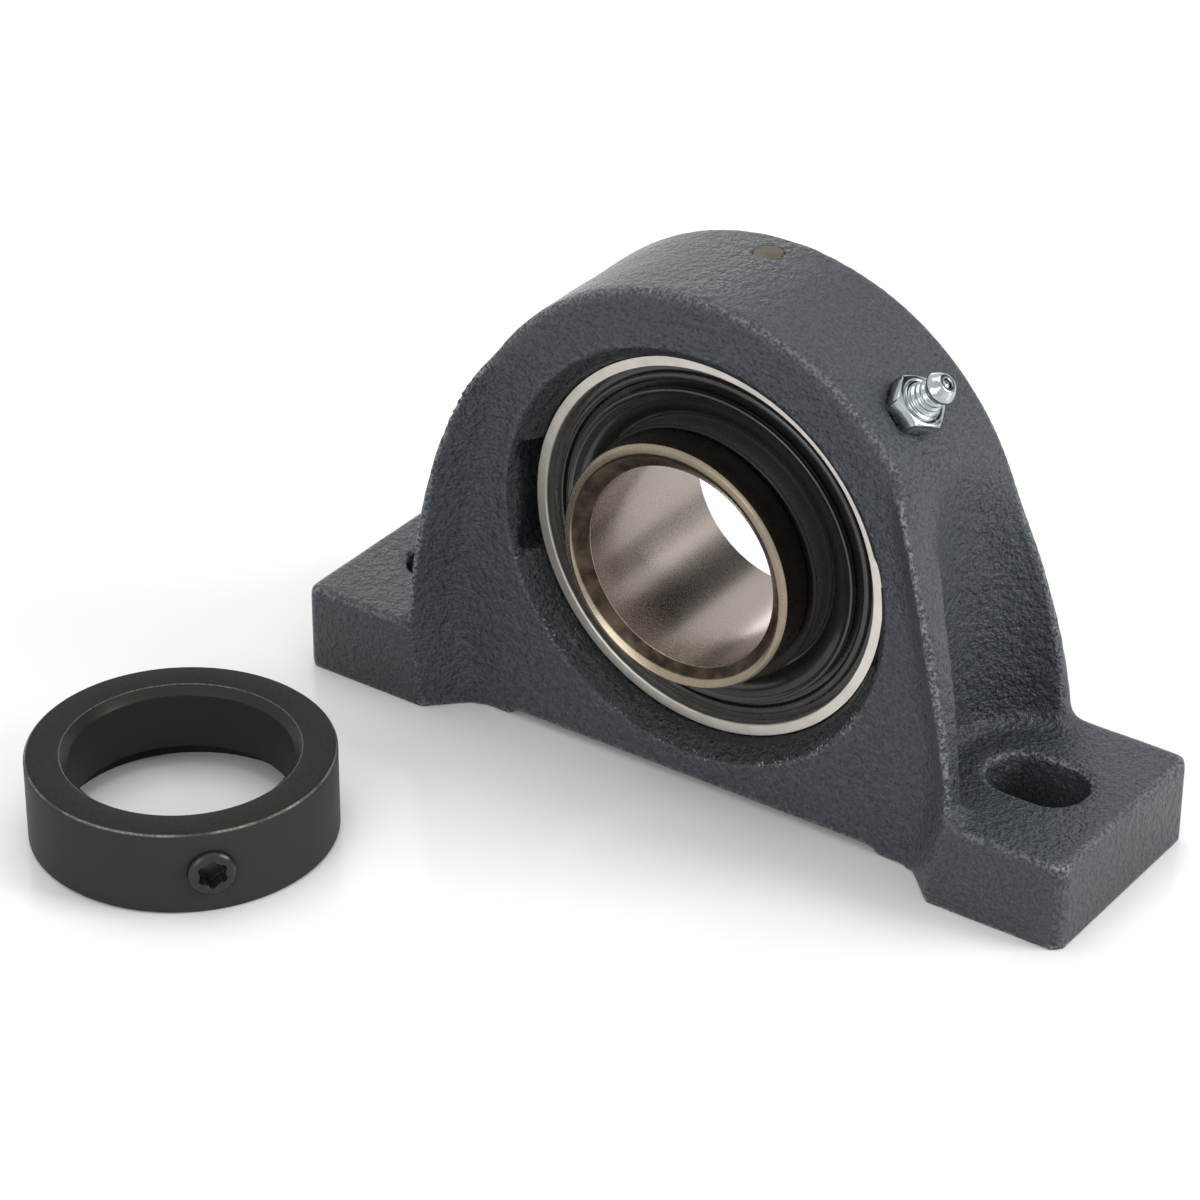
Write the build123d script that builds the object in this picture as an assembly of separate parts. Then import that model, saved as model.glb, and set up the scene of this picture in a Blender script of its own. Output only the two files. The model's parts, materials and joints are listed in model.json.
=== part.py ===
from build123d import *
import math
import os

# Pillow block bearing with a spherical insert and an eccentric locking collar.
# Millimetres. The base plane is z = 0 and the shaft runs along Y above the origin.
# The front, with the cam nose and the loading slots, faces -Y.

# Insert bearing
SPHERE_RADIUS = 36.0
OUTER_RING_HALF_WIDTH = 9.7
OUTER_LAND_RADIUS = 30.3
SEAL_SEAT_RADIUS = 32.7
SEAL_SEAT_DEPTH = 2.6
OUTER_EDGE_CHAMFER = 0.25
BALL_COUNT = 9
BALL_RADIUS = 5.556
PITCH_SETBACK = 0.378
RACE_CONFORMITY = 1.03
BORE_RADIUS = 18.256
INNER_LAND_RADIUS = 23.45
NOSE_RADIUS = 22.3
NOSE_ECCENTRICITY = 0.8
NOSE_LENGTH = 19.5
LAND_HALF_WIDTH = 7.4
SHOULDER_END = 12.2
SHOULDER_CHAMFER = 0.4
UNDERCUT_WIDTH = 0.9
UNDERCUT_DEPTH = 0.4
NOSE_BORE_CHAMFER_WIDTH = 2.6
NOSE_BORE_CHAMFER_DEPTH = 2.3
NOSE_EDGE_CHAMFER = 0.5
TAIL_LENGTH = 16.0
TAIL_RADIUS = 22.3
TAIL_CHAMFER = 1.0

# Cage
CAGE_INNER_RADIUS = 25.1
CAGE_OUTER_RADIUS = 28.4
CAGE_THICKNESS = 0.7
RIVET_RADIUS = 0.8
RIVET_HEAD_RADIUS = 1.25
RIVET_HEAD_HEIGHT = 0.5

# Seals and flingers
SHELL_THICKNESS = 0.6
SHELL_BEAD_HEIGHT = 0.9
SHELL_BEAD_WIDTH = 1.6
SHELL_BEAD_INSET = 1.2
SHELL_INNER_RADIUS = 26.8
LIP_THICKNESS = 0.4
LIP_BOND_WIDTH = 1.4
LIP_DROP = 1.0
FLINGER_RADIUS = 28.8
FLINGER_THICKNESS = 0.55
FLINGER_HUB_WIDTH = 0.65
FLINGER_RIM_HEIGHT = 1.1
FLINGER_RIM_ROUNDING = 0.35
FLINGER_SETBACK = 0.1
FLINGER_RISE = 0.3

# Housing
CENTRE_HEIGHT = 44.45
FOOT_LENGTH = 154.2
FOOT_WIDTH = 42.0
FOOT_HEIGHT = 16.3
FOOT_CORNER_RADIUS = 2.0
FOOT_EDGE_RADIUS = 1.2
DOME_RADIUS = 48.2
BODY_HALF_WIDTH = 14.2
BODY_EDGE_RADIUS = 1.3
WING_FOOT_REACH = 55.2
WING_TANGENT_ANGLE = 24.0
WING_STRAIGHT_HEIGHT = 59.0
WING_TOP_HEIGHT = 70.5
WING_TOP_BLEND = 3.0
WING_LEAN_START = 20.0
WING_LEAN_END = 58.0
WING_LEAN_BLEND = 40.0
WING_FOOT_FILLET = 3.0
WING_FRONT_WIDTH = 20.6
WING_REAR_WIDTH = 20.4
RECESS_FLOOR_REACH = 44.6
RECESS_WAIST_REACH = 48.4
RECESS_WAIST_HEIGHT = 20.0
RECESS_TOP_REACH = 39.8
RECESS_TOP_HEIGHT = 61.0
RECESS_FLANK_ANGLE = 45.0
RECESS_CORNER_RADIUS = 5.5
REAR_RECESS_INSET = 4.0
RELIEF_HALF_LENGTH = 37.5
RELIEF_DEPTH = 1.3
RELIEF_CORNER_RADIUS = 1.2
BOLT_SPACING = 120.0
SLOT_WIDTH = 12.5
SLOT_LENGTH = 18.0
WRENCH_RADIUS = 17.0
WRENCH_SETBACK = 0.2
WRENCH_LEAN = 1.5
WRENCH_FILLET = 3.0
MOUTH_RADIUS = 38.0
MOUTH_CHAMFER_DEPTH = 2.2
MOUTH_CHAMFER_WIDTH = 2.3
SEAT_RELIEF = 0.15
MOUTH_CUT_DEPTH = 8.0
SEAT_CLEARANCE = 0.05
LOADING_CLEARANCE = 1.05
LOADING_SIDE_CLEARANCE = 0.4

# Grease nipple, check ball and spring
NIPPLE_ANGLE = 45.0
NIPPLE_OFFSET = 2.6
NIPPLE_THREAD_RADIUS = 4.0
NIPPLE_THREAD_LENGTH = 7.0
NIPPLE_HEX_FLATS = 9.0
NIPPLE_HEX_HEIGHT = 3.4
NIPPLE_NECK_RADIUS = 2.15
NIPPLE_NECK_LENGTH = 3.0
NIPPLE_COLLAR_RADIUS = 3.0
NIPPLE_HEAD_RADIUS = 3.25
NIPPLE_HEAD_LENGTH = 3.4
NIPPLE_TIP_RADIUS = 1.75
NIPPLE_CHANNEL_RADIUS = 1.3
NIPPLE_ORIFICE_RADIUS = 0.9
NIPPLE_ORIFICE_LENGTH = 0.55
NIPPLE_EDGE = 0.3
NIPPLE_FLOOR = 0.4
NIPPLE_THREAD_CHAMFER = 0.6
SPOT_FACE_RADIUS = 6.0
SPOT_FACE_DEPTH = 0.35
CHECK_BALL_RADIUS = 1.15
CHECK_BALL_DEPTH = 1.35
SPRING_WIRE_RADIUS = 0.14
SPRING_TURNS = 6
SPRING_GAP = 0.15
GREASE_DUCT_RADIUS = 1.6
GREASE_GROOVE_WIDTH = 5.0
GREASE_GROOVE_DEPTH = 0.5
GREASE_HOLE_RADIUS = 0.7
GREASE_HOLE_EDGE = 0.3
GREASE_HOLE_COUNT = 2

# Locating pin
PIN_RADIUS = 2.5
PIN_OFFSET = 7.4
PIN_ENGAGEMENT = 0.95
PIN_NOTCH_CLEARANCE = 0.35
PIN_TILT_CLEARANCE = 0.5
ALIGNMENT_ANGLE = 2.5

# Locking collar and its set screw
COLLAR_RADIUS = 26.25
COLLAR_HEIGHT = 15.5
COLLAR_BORE_RADIUS = 18.8
COLLAR_BORE_CHAMFER = 1.5
COLLAR_EDGE_CHAMFER = 0.5
COLLAR_RECESS_DEPTH = 3.9
COLLAR_RECESS_CLEARANCE = 0.3
COLLAR_CENTRE_X = -61.8
COLLAR_CENTRE_Y = -73.9
SCREW_RADIUS = 4.0
SCREW_CLEARANCE = 0.05
SCREW_LENGTH = 6.8
SCREW_PROUD = 1.2
SCREW_DIRECTION = -40.0
SCREW_HEIGHT = 8.0
SCREW_CUP_RADIUS = 2.2
SCREW_CUP_DEPTH = 0.8
SCREW_SOCKET_RADIUS = 2.2
SCREW_SOCKET_DEPTH = 2.8
SOCKET_LOBES = 6
SOCKET_LOBE_RADIUS = 0.62

# Fits
RUNNING_CLEARANCE = 0.02
SLIDING_CLEARANCE = 0.03
POCKET_CLEARANCE = 0.1
PIN_RECESS = 0.05
SPLIT_GAP = 0.04
LIP_CLEARANCE = 0.2

# Sizes worked out from the ones above
SEAT_RADIUS = SPHERE_RADIUS + SEAT_CLEARANCE
PITCH_RADIUS = (SPHERE_RADIUS + BORE_RADIUS) / 2 - PITCH_SETBACK
GROOVE_RADIUS = BALL_RADIUS * RACE_CONFORMITY
RING_FACE_RADIUS = math.sqrt(SPHERE_RADIUS ** 2 - OUTER_RING_HALF_WIDTH ** 2)
SEAL_PLANE = OUTER_RING_HALF_WIDTH - SEAL_SEAT_DEPTH
BOLT_X = BOLT_SPACING / 2
DOME_TOP = CENTRE_HEIGHT + DOME_RADIUS


def on_shaft(shape):
    """Turn a shape made about Z, front up, onto the shaft axis."""
    return Pos(0, 0, CENTRE_HEIGHT) * Rot(90, 0, 0) * shape


def turned(points):
    """Spin a closed outline of (radius, height) points about Z."""
    outline = Polyline(*[(r, 0, s) for r, s in points], close=True)
    return revolve(make_face(outline), axis=Axis.Z)


def tube(outer, inner, low, high):
    """Hollow cylinder about Z between two heights."""
    return turned([(inner, low), (outer, low), (outer, high), (inner, high)])


def rod(radius, low, high):
    """Solid cylinder about Z between two heights."""
    return Pos(0, 0, low) * Cylinder(radius, high - low, align=(Align.CENTER, Align.CENTER, Align.MIN))


def ball_places():
    """Angles of the balls round the pitch circle."""
    return [90 + 360 * k / BALL_COUNT for k in range(BALL_COUNT)]


def at_pitch(angle):
    turn = math.radians(angle)
    return Pos(PITCH_RADIUS * math.cos(turn), PITCH_RADIUS * math.sin(turn), 0)


def both_sides(shape):
    return shape + mirror(shape, about=Plane.XY)


# Insert bearing

def make_outer_ring():
    """Ring with a spherical outside, a ball groove inside and a seal seat at each edge."""
    race_circle = PITCH_RADIUS + BALL_RADIUS + RUNNING_CLEARANCE - GROOVE_RADIUS
    race_edge = math.sqrt(GROOVE_RADIUS ** 2 - (OUTER_LAND_RADIUS - race_circle) ** 2)
    top = OUTER_RING_HALF_WIDTH
    side = [
        (RING_FACE_RADIUS, top),
        (SEAL_SEAT_RADIUS + OUTER_EDGE_CHAMFER, top),
        (SEAL_SEAT_RADIUS, top - OUTER_EDGE_CHAMFER),
        (SEAL_SEAT_RADIUS, SEAL_PLANE),
        (OUTER_LAND_RADIUS, SEAL_PLANE),
        (OUTER_LAND_RADIUS, race_edge),
    ]
    upper = Polyline(*[(r, 0, s) for r, s in side])
    lower = Polyline(*[(r, 0, -s) for r, s in side])
    sphere = ThreePointArc((RING_FACE_RADIUS, 0, top), (SPHERE_RADIUS, 0, 0), (RING_FACE_RADIUS, 0, -top))
    race = ThreePointArc(
        (OUTER_LAND_RADIUS, 0, race_edge),
        (race_circle + GROOVE_RADIUS, 0, 0),
        (OUTER_LAND_RADIUS, 0, -race_edge),
    )
    ring = revolve(make_face(upper + race + lower + sphere), axis=Axis.Z)
    groove_middle = NIPPLE_OFFSET + GREASE_GROOVE_WIDTH / 4
    ring -= tube(
        SPHERE_RADIUS + 1,
        math.sqrt(SPHERE_RADIUS ** 2 - groove_middle ** 2) - GREASE_GROOVE_DEPTH,
        groove_middle - GREASE_GROOVE_WIDTH / 2,
        groove_middle + GREASE_GROOVE_WIDTH / 2,
    )
    hole_height = groove_middle + GREASE_GROOVE_WIDTH / 2 - GREASE_HOLE_EDGE - GREASE_HOLE_RADIUS
    for k in range(GREASE_HOLE_COUNT):
        hole = rod(GREASE_HOLE_RADIUS, OUTER_LAND_RADIUS - 1, SPHERE_RADIUS + 1)
        turn = Rot(0, 0, NIPPLE_ANGLE + 360 * k / GREASE_HOLE_COUNT)
        ring -= Pos(0, 0, hole_height) * turn * Rot(0, 90, 0) * hole
    return ring - pin_notch()


def pin_tip_height():
    """Height of the locating pin's tip above the shaft axis."""
    return math.sqrt(SPHERE_RADIUS ** 2 - PIN_OFFSET ** 2) - PIN_ENGAGEMENT


def pin_notch():
    """Open notch in the rear edge of the outer ring, long enough for the ring to swivel."""
    swing = SPHERE_RADIUS * math.sin(math.radians(ALIGNMENT_ANGLE)) + PIN_NOTCH_CLEARANCE
    end = -(PIN_OFFSET - PIN_RADIUS - swing)
    start = -OUTER_RING_HALF_WIDTH - 1
    width = 2 * (PIN_RADIUS + PIN_NOTCH_CLEARANCE)
    floor = pin_tip_height() - PIN_TILT_CLEARANCE
    box = Box(width, SPHERE_RADIUS + 1 - floor, end - start, align=(Align.CENTER, Align.MIN, Align.MIN))
    return Pos(0, floor, start) * box


def make_inner_ring():
    undercut_radius = NOSE_RADIUS - NOSE_ECCENTRICITY - UNDERCUT_DEPTH
    tail_step = -OUTER_RING_HALF_WIDTH + SEAL_SEAT_DEPTH / 4
    body = turned([
        (BORE_RADIUS, -TAIL_LENGTH),
        (TAIL_RADIUS - TAIL_CHAMFER / 2, -TAIL_LENGTH),
        (TAIL_RADIUS, -TAIL_LENGTH + TAIL_CHAMFER / 2),
        (TAIL_RADIUS, tail_step),
        (INNER_LAND_RADIUS, -LAND_HALF_WIDTH),
        (INNER_LAND_RADIUS, SHOULDER_END - SHOULDER_CHAMFER),
        (INNER_LAND_RADIUS - SHOULDER_CHAMFER, SHOULDER_END),
        (undercut_radius, SHOULDER_END),
        (undercut_radius, SHOULDER_END + UNDERCUT_WIDTH * 2),
        (BORE_RADIUS, SHOULDER_END + UNDERCUT_WIDTH * 2),
    ])
    nose = rod(NOSE_RADIUS, SHOULDER_END + UNDERCUT_WIDTH, NOSE_LENGTH)
    nose = chamfer(nose.edges().group_by(Axis.Z)[-1], NOSE_EDGE_CHAMFER)
    ring = body + Pos(0, NOSE_ECCENTRICITY, 0) * nose
    ring -= rod(BORE_RADIUS, -TAIL_LENGTH - 1, NOSE_LENGTH + 1)
    ring -= turned([
        (0, NOSE_LENGTH - NOSE_BORE_CHAMFER_DEPTH),
        (BORE_RADIUS, NOSE_LENGTH - NOSE_BORE_CHAMFER_DEPTH),
        (BORE_RADIUS + NOSE_BORE_CHAMFER_WIDTH, NOSE_LENGTH),
        (0, NOSE_LENGTH),
    ])
    ring -= turned([
        (0, -TAIL_LENGTH),
        (BORE_RADIUS + TAIL_CHAMFER, -TAIL_LENGTH),
        (BORE_RADIUS, -TAIL_LENGTH + TAIL_CHAMFER),
        (0, -TAIL_LENGTH + TAIL_CHAMFER),
    ])
    race_circle = PITCH_RADIUS - BALL_RADIUS - RUNNING_CLEARANCE + GROOVE_RADIUS
    return ring - Torus(race_circle, GROOVE_RADIUS)


def make_cage_half():
    """Front half of the riveted ribbon cage: flat webs between cupped ball pockets."""
    cup = BALL_RADIUS + POCKET_CLEARANCE + CAGE_THICKNESS
    band = tube(CAGE_OUTER_RADIUS, CAGE_INNER_RADIUS, SPLIT_GAP / 2, cup + 1)
    half = tube(CAGE_OUTER_RADIUS, CAGE_INNER_RADIUS, SPLIT_GAP / 2, SPLIT_GAP / 2 + CAGE_THICKNESS)
    for angle in ball_places():
        half += at_pitch(angle) * Sphere(cup) & band
    for angle in ball_places():
        half -= at_pitch(angle) * Sphere(BALL_RADIUS + POCKET_CLEARANCE)
        half -= at_pitch(angle + 180 / BALL_COUNT) * rod(RIVET_RADIUS + SLIDING_CLEARANCE, -1, cup)
    return half


def make_cage_rivets():
    grip = SPLIT_GAP / 2 + CAGE_THICKNESS
    rivet = rod(RIVET_RADIUS, -grip, grip)
    rivet += both_sides(rod(RIVET_HEAD_RADIUS, grip, grip + RIVET_HEAD_HEIGHT))
    return [at_pitch(angle + 180 / BALL_COUNT) * rivet for angle in ball_places()]


def make_seal_shell():
    """Pressed steel shield snapped into the outer ring, with a rolled bead round its rim."""
    low = SEAL_PLANE + SPLIT_GAP
    high = low + SHELL_THICKNESS
    rim = SEAL_SEAT_RADIUS - SLIDING_CLEARANCE
    bead_out = rim - SHELL_BEAD_INSET
    bead_in = bead_out - SHELL_BEAD_WIDTH
    soft = SHELL_BEAD_WIDTH / 4
    return turned([
        (rim, low),
        (rim, high),
        (bead_out, high),
        (bead_out - soft / 2, high + SHELL_BEAD_HEIGHT * 0.7),
        (bead_out - soft * 1.3, high + SHELL_BEAD_HEIGHT),
        (bead_in + soft * 1.3, high + SHELL_BEAD_HEIGHT),
        (bead_in + soft / 2, high + SHELL_BEAD_HEIGHT * 0.7),
        (bead_in, high),
        (SHELL_INNER_RADIUS, high),
        (SHELL_INNER_RADIUS, low),
    ])


def make_seal_lip():
    """Rubber lip bonded behind the shield, reaching in to the inner ring's land."""
    top = SEAL_PLANE
    reach = INNER_LAND_RADIUS + LIP_CLEARANCE
    bonded = SHELL_INNER_RADIUS + LIP_BOND_WIDTH
    bend = SHELL_INNER_RADIUS - LIP_BOND_WIDTH
    drop = top - LIP_DROP
    return turned([
        (bonded, top),
        (bonded, top - LIP_THICKNESS),
        (bend, top - LIP_THICKNESS),
        (reach + 2 * LIP_THICKNESS, drop),
        (reach, drop - LIP_THICKNESS),
        (reach, drop),
        (reach + 2 * LIP_THICKNESS, drop + LIP_THICKNESS),
        (bend, top),
    ])


def make_flinger():
    """Dished slinger pressed on the inner ring, turning just in front of the shield."""
    hub = INNER_LAND_RADIUS + SLIDING_CLEARANCE
    knee = hub + FLINGER_HUB_WIDTH
    foot = SEAL_PLANE - FLINGER_RISE
    floor = SEAL_PLANE + FLINGER_RISE
    top = OUTER_RING_HALF_WIDTH - FLINGER_SETBACK
    skirt = FLINGER_RADIUS - FLINGER_THICKNESS
    return turned([
        (hub, foot),
        (hub, floor),
        (knee, floor),
        (FLINGER_RADIUS - 2 * FLINGER_RIM_ROUNDING, top),
        (FLINGER_RADIUS - FLINGER_RIM_ROUNDING, top),
        (FLINGER_RADIUS, top - FLINGER_RIM_ROUNDING),
        (FLINGER_RADIUS, top - FLINGER_RIM_HEIGHT),
        (skirt, top - FLINGER_RIM_HEIGHT),
        (skirt, top - FLINGER_THICKNESS),
        (knee, floor - FLINGER_THICKNESS),
        (knee, foot),
    ])


# Housing

def front_outline():
    """Outline of the housing body seen along the shaft: dome, flared wings and foot."""
    angle = math.radians(WING_TANGENT_ANGLE)
    start = (DOME_RADIUS * math.cos(angle), CENTRE_HEIGHT + DOME_RADIUS * math.sin(angle))
    end = (WING_FOOT_REACH, FOOT_HEIGHT)
    left_start = (-start[0], start[1])
    left_end = (-end[0], end[1])
    tangent = (math.sin(angle), -math.cos(angle))
    flare = TangentArc(start, end, tangent=tangent)
    left_flare = TangentArc(left_start, left_end, tangent=(-tangent[0], tangent[1]))
    dome = ThreePointArc(start, (0, DOME_TOP), left_start)
    shelf = WING_FOOT_REACH + WING_FOOT_FILLET * 2
    base = Polyline(
        end, (shelf, FOOT_HEIGHT), (shelf, 0), (-shelf, 0), (-shelf, FOOT_HEIGHT), left_end
    )
    outline = make_face(dome + flare + left_flare + base)
    corners = [v for v in outline.vertices() if abs(abs(v.X) - WING_FOOT_REACH) < 0.01]
    return fillet(corners, WING_FOOT_FILLET)


def side_outline():
    """Outline of the wings seen along X: the front bulges over, and the rear leans in."""
    top = DOME_TOP + BODY_HALF_WIDTH
    bulge = TangentArc(
        (-WING_FRONT_WIDTH, WING_STRAIGHT_HEIGHT), (-BODY_HALF_WIDTH, WING_TOP_HEIGHT), tangent=(0, 1)
    )
    rest = Polyline(
        (-BODY_HALF_WIDTH, WING_TOP_HEIGHT),
        (-BODY_HALF_WIDTH, top),
        (BODY_HALF_WIDTH, top),
        (BODY_HALF_WIDTH, WING_LEAN_END),
        (WING_REAR_WIDTH, WING_LEAN_START),
        (WING_REAR_WIDTH, 0),
        (-WING_FRONT_WIDTH, 0),
        (-WING_FRONT_WIDTH, WING_STRAIGHT_HEIGHT),
    )
    outline = fillet(corners_at(make_face(bulge + rest), WING_TOP_HEIGHT), WING_TOP_BLEND)
    for height in (WING_LEAN_START, WING_LEAN_END):
        outline = fillet(corners_at(outline, height), WING_LEAN_BLEND)
    return outline


def corners_at(outline, height):
    """Corners of a flat outline that lie at one height of it."""
    return outline.vertices().filter_by_position(Axis.Y, height, height)


def face_recess(inset):
    """Space in front of the body between the two wings, opening outwards at its ends."""
    lean = (RECESS_WAIST_REACH - RECESS_TOP_REACH) / (RECESS_TOP_HEIGHT - RECESS_WAIST_HEIGHT)
    top = DOME_TOP + BODY_HALF_WIDTH
    low = -BODY_HALF_WIDTH
    flare = (RECESS_WAIST_REACH - RECESS_FLOOR_REACH) / RECESS_WAIST_HEIGHT
    waist = RECESS_WAIST_REACH - inset
    foot = RECESS_FLOOR_REACH + low * flare - inset
    reach = RECESS_TOP_REACH - lean * (top - RECESS_TOP_HEIGHT) - inset
    outline = Polyline(
        (foot, low),
        (waist, RECESS_WAIST_HEIGHT),
        (reach, top),
        (-reach, top),
        (-waist, RECESS_WAIST_HEIGHT),
        (-foot, low),
        close=True,
    )
    depth = FOOT_WIDTH / 2 - BODY_HALF_WIDTH + FOOT_CORNER_RADIUS
    plan = fillet(corners_at(make_face(outline), RECESS_WAIST_HEIGHT), RECESS_WAIST_HEIGHT)
    space = extrude(Plane.XZ * plan, depth, taper=-RECESS_FLANK_ANGLE)
    floor = space.faces().sort_by(Axis.Y)[-1]
    sides = [edge for edge in floor.edges() if abs(edge.center().X) > BODY_HALF_WIDTH]
    return Pos(0, low, 0) * fillet(sides, RECESS_CORNER_RADIUS)


def make_feet():
    """Flat foot plate under the wings, its outer corners rounded."""
    plate = extrude(RectangleRounded(FOOT_LENGTH, FOOT_WIDTH, FOOT_CORNER_RADIUS), FOOT_HEIGHT)
    return fillet(plate.edges().group_by(Axis.Z)[-1], FOOT_EDGE_RADIUS)


def wrench_room():
    """Scoop beside each bolt slot that leaves room for the bolt head and a wrench."""
    place = Pos(BOLT_X - WRENCH_SETBACK, 0, FOOT_HEIGHT)
    scoop = place * Rot(0, -WRENCH_LEAN, 0) * rod(WRENCH_RADIUS, -WRENCH_RADIUS, DOME_TOP)
    below = Box(
        3 * WRENCH_RADIUS,
        3 * WRENCH_RADIUS,
        2 * WRENCH_RADIUS,
        align=(Align.CENTER, Align.CENTER, Align.MAX),
    )
    scoop -= place * below
    return fillet(scoop.edges().group_by(Axis.Z)[0], WRENCH_FILLET)


def seat_bore():
    """Spherical seat with a tapered mouth on each side, and loading slots at the front."""
    seat_edge = math.sqrt(SEAT_RADIUS ** 2 - OUTER_RING_HALF_WIDTH ** 2) + SEAT_RELIEF
    step = BODY_HALF_WIDTH - MOUTH_CHAMFER_DEPTH
    step_radius = MOUTH_RADIUS - MOUTH_CHAMFER_WIDTH
    outside = BODY_HALF_WIDTH + MOUTH_CUT_DEPTH
    mouth = turned([
        (0, 0),
        (seat_edge, 0),
        (seat_edge, OUTER_RING_HALF_WIDTH),
        (step_radius, step),
        (MOUTH_RADIUS, BODY_HALF_WIDTH),
        (MOUTH_RADIUS, outside),
        (0, outside),
    ])
    slots = Box(
        2 * (SPHERE_RADIUS + LOADING_SIDE_CLEARANCE),
        2 * (OUTER_RING_HALF_WIDTH + LOADING_CLEARANCE),
        outside,
        align=(Align.CENTER, Align.CENTER, Align.MIN),
    )
    return Sphere(SEAT_RADIUS) + both_sides(mouth) + slots


def nipple_frame():
    """Location with Z along the nipple, pointing outwards from the dome."""
    place = Pos(0, -NIPPLE_OFFSET, CENTRE_HEIGHT)
    return place * Rot(0, NIPPLE_ANGLE, 0) * Pos(0, 0, DOME_RADIUS - SPOT_FACE_DEPTH)


def nipple_hole():
    hole = rod(NIPPLE_THREAD_RADIUS + SLIDING_CLEARANCE, -NIPPLE_THREAD_LENGTH - 1, SPOT_FACE_DEPTH)
    hole += rod(GREASE_DUCT_RADIUS, SPHERE_RADIUS - DOME_RADIUS - GREASE_DUCT_RADIUS, 0)
    hole += rod(SPOT_FACE_RADIUS, 0, SPOT_FACE_RADIUS)
    return nipple_frame() * hole


def pin_hole():
    hole = rod(PIN_RADIUS + SLIDING_CLEARANCE, SPHERE_RADIUS / 2, DOME_RADIUS + 5)
    return Pos(0, PIN_OFFSET, CENTRE_HEIGHT) * hole


def bolt_slots():
    slot = extrude(SlotOverall(SLOT_LENGTH, SLOT_WIDTH), FOOT_HEIGHT + 4)
    return Pos(BOLT_X, 0, -2) * slot + Pos(-BOLT_X, 0, -2) * slot


def base_relief():
    """Shallow relief under the middle of the base, so that the part stands on its feet."""
    plan = Rectangle(2 * RELIEF_HALF_LENGTH, FOOT_WIDTH + 10)
    block = extrude(plan, RELIEF_DEPTH * 2)
    ends = block.edges().filter_by(Axis.Y).group_by(Axis.Z)[-1]
    return Pos(0, 0, -RELIEF_DEPTH) * fillet(ends, RELIEF_CORNER_RADIUS)


def housing_body():
    """Dome and wings as cast, with a rounded crest along both faces."""
    body = extrude(Plane.XZ * front_outline(), FOOT_WIDTH, both=True)
    body &= extrude(Plane.YZ * side_outline(), FOOT_LENGTH, both=True)
    crest = [
        edge
        for edge in body.edges()
        if abs(edge.center().Y) > BODY_HALF_WIDTH / 2
        and edge.center().Z > FOOT_HEIGHT + WING_FOOT_FILLET
        and edge.bounding_box().size.Y < BODY_HALF_WIDTH
    ]
    return fillet(crest, BODY_EDGE_RADIUS)


def make_housing():
    room = wrench_room()
    body = housing_body()
    body -= room
    body -= mirror(room, about=Plane.YZ)
    body += make_feet()
    body -= face_recess(0) + mirror(face_recess(REAR_RECESS_INSET), about=Plane.XZ)
    body -= on_shaft(seat_bore())
    body -= nipple_hole() + pin_hole() + bolt_slots() + base_relief()
    return body


def make_locating_pin():
    pin = rod(PIN_RADIUS, pin_tip_height(), DOME_RADIUS + 5)
    dome = Rot(90, 0, 0) * Cylinder(DOME_RADIUS - PIN_RECESS, 4 * BODY_HALF_WIDTH)
    return Pos(0, 0, CENTRE_HEIGHT) * (Pos(0, PIN_OFFSET, 0) * pin & dome)


# Grease nipple

def nipple_height():
    return NIPPLE_HEX_HEIGHT + NIPPLE_NECK_LENGTH + NIPPLE_HEAD_LENGTH


def make_nipple_body():
    neck_top = NIPPLE_HEX_HEIGHT + NIPPLE_NECK_LENGTH
    top = nipple_height()
    step = NIPPLE_NECK_LENGTH / 4
    body = turned([
        (0, -NIPPLE_THREAD_LENGTH),
        (NIPPLE_THREAD_RADIUS - NIPPLE_THREAD_CHAMFER, -NIPPLE_THREAD_LENGTH),
        (NIPPLE_THREAD_RADIUS, -NIPPLE_THREAD_LENGTH + NIPPLE_THREAD_CHAMFER),
        (NIPPLE_THREAD_RADIUS, 0),
        (NIPPLE_THREAD_RADIUS, NIPPLE_HEX_HEIGHT),
        (NIPPLE_COLLAR_RADIUS, NIPPLE_HEX_HEIGHT + step / 2),
        (NIPPLE_COLLAR_RADIUS, NIPPLE_HEX_HEIGHT + 2 * step),
        (NIPPLE_NECK_RADIUS, NIPPLE_HEX_HEIGHT + 3 * step),
        (NIPPLE_NECK_RADIUS, neck_top),
        (NIPPLE_HEAD_RADIUS, neck_top + NIPPLE_HEAD_LENGTH * 0.3),
        (NIPPLE_HEAD_RADIUS, neck_top + NIPPLE_HEAD_LENGTH * 0.45),
        (NIPPLE_TIP_RADIUS, top - NIPPLE_EDGE),
        (NIPPLE_TIP_RADIUS - NIPPLE_EDGE, top),
        (0, top),
    ])
    hexagon = extrude(RegularPolygon(NIPPLE_HEX_FLATS / 2, 6, major_radius=False), NIPPLE_HEX_HEIGHT)
    corner = NIPPLE_HEX_FLATS / 2 / math.cos(math.radians(30))
    dressing = turned([
        (0, 0),
        (corner - NIPPLE_EDGE, 0),
        (corner, NIPPLE_EDGE),
        (corner, NIPPLE_HEX_HEIGHT - NIPPLE_EDGE),
        (corner - 2 * NIPPLE_EDGE, NIPPLE_HEX_HEIGHT),
        (0, NIPPLE_HEX_HEIGHT),
    ])
    body += hexagon & dressing
    shoulder = top - CHECK_BALL_DEPTH + CHECK_BALL_RADIUS * 0.2
    channel = turned([
        (0, -NIPPLE_THREAD_LENGTH + NIPPLE_FLOOR),
        (NIPPLE_CHANNEL_RADIUS, -NIPPLE_THREAD_LENGTH + NIPPLE_FLOOR),
        (NIPPLE_CHANNEL_RADIUS, shoulder),
        (NIPPLE_ORIFICE_RADIUS, top - NIPPLE_ORIFICE_LENGTH),
        (NIPPLE_ORIFICE_RADIUS, top),
        (0, top),
    ])
    body -= channel
    body -= rod(NIPPLE_ORIFICE_RADIUS * 0.6, -NIPPLE_THREAD_LENGTH - 1, 0)
    return nipple_frame() * body


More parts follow.
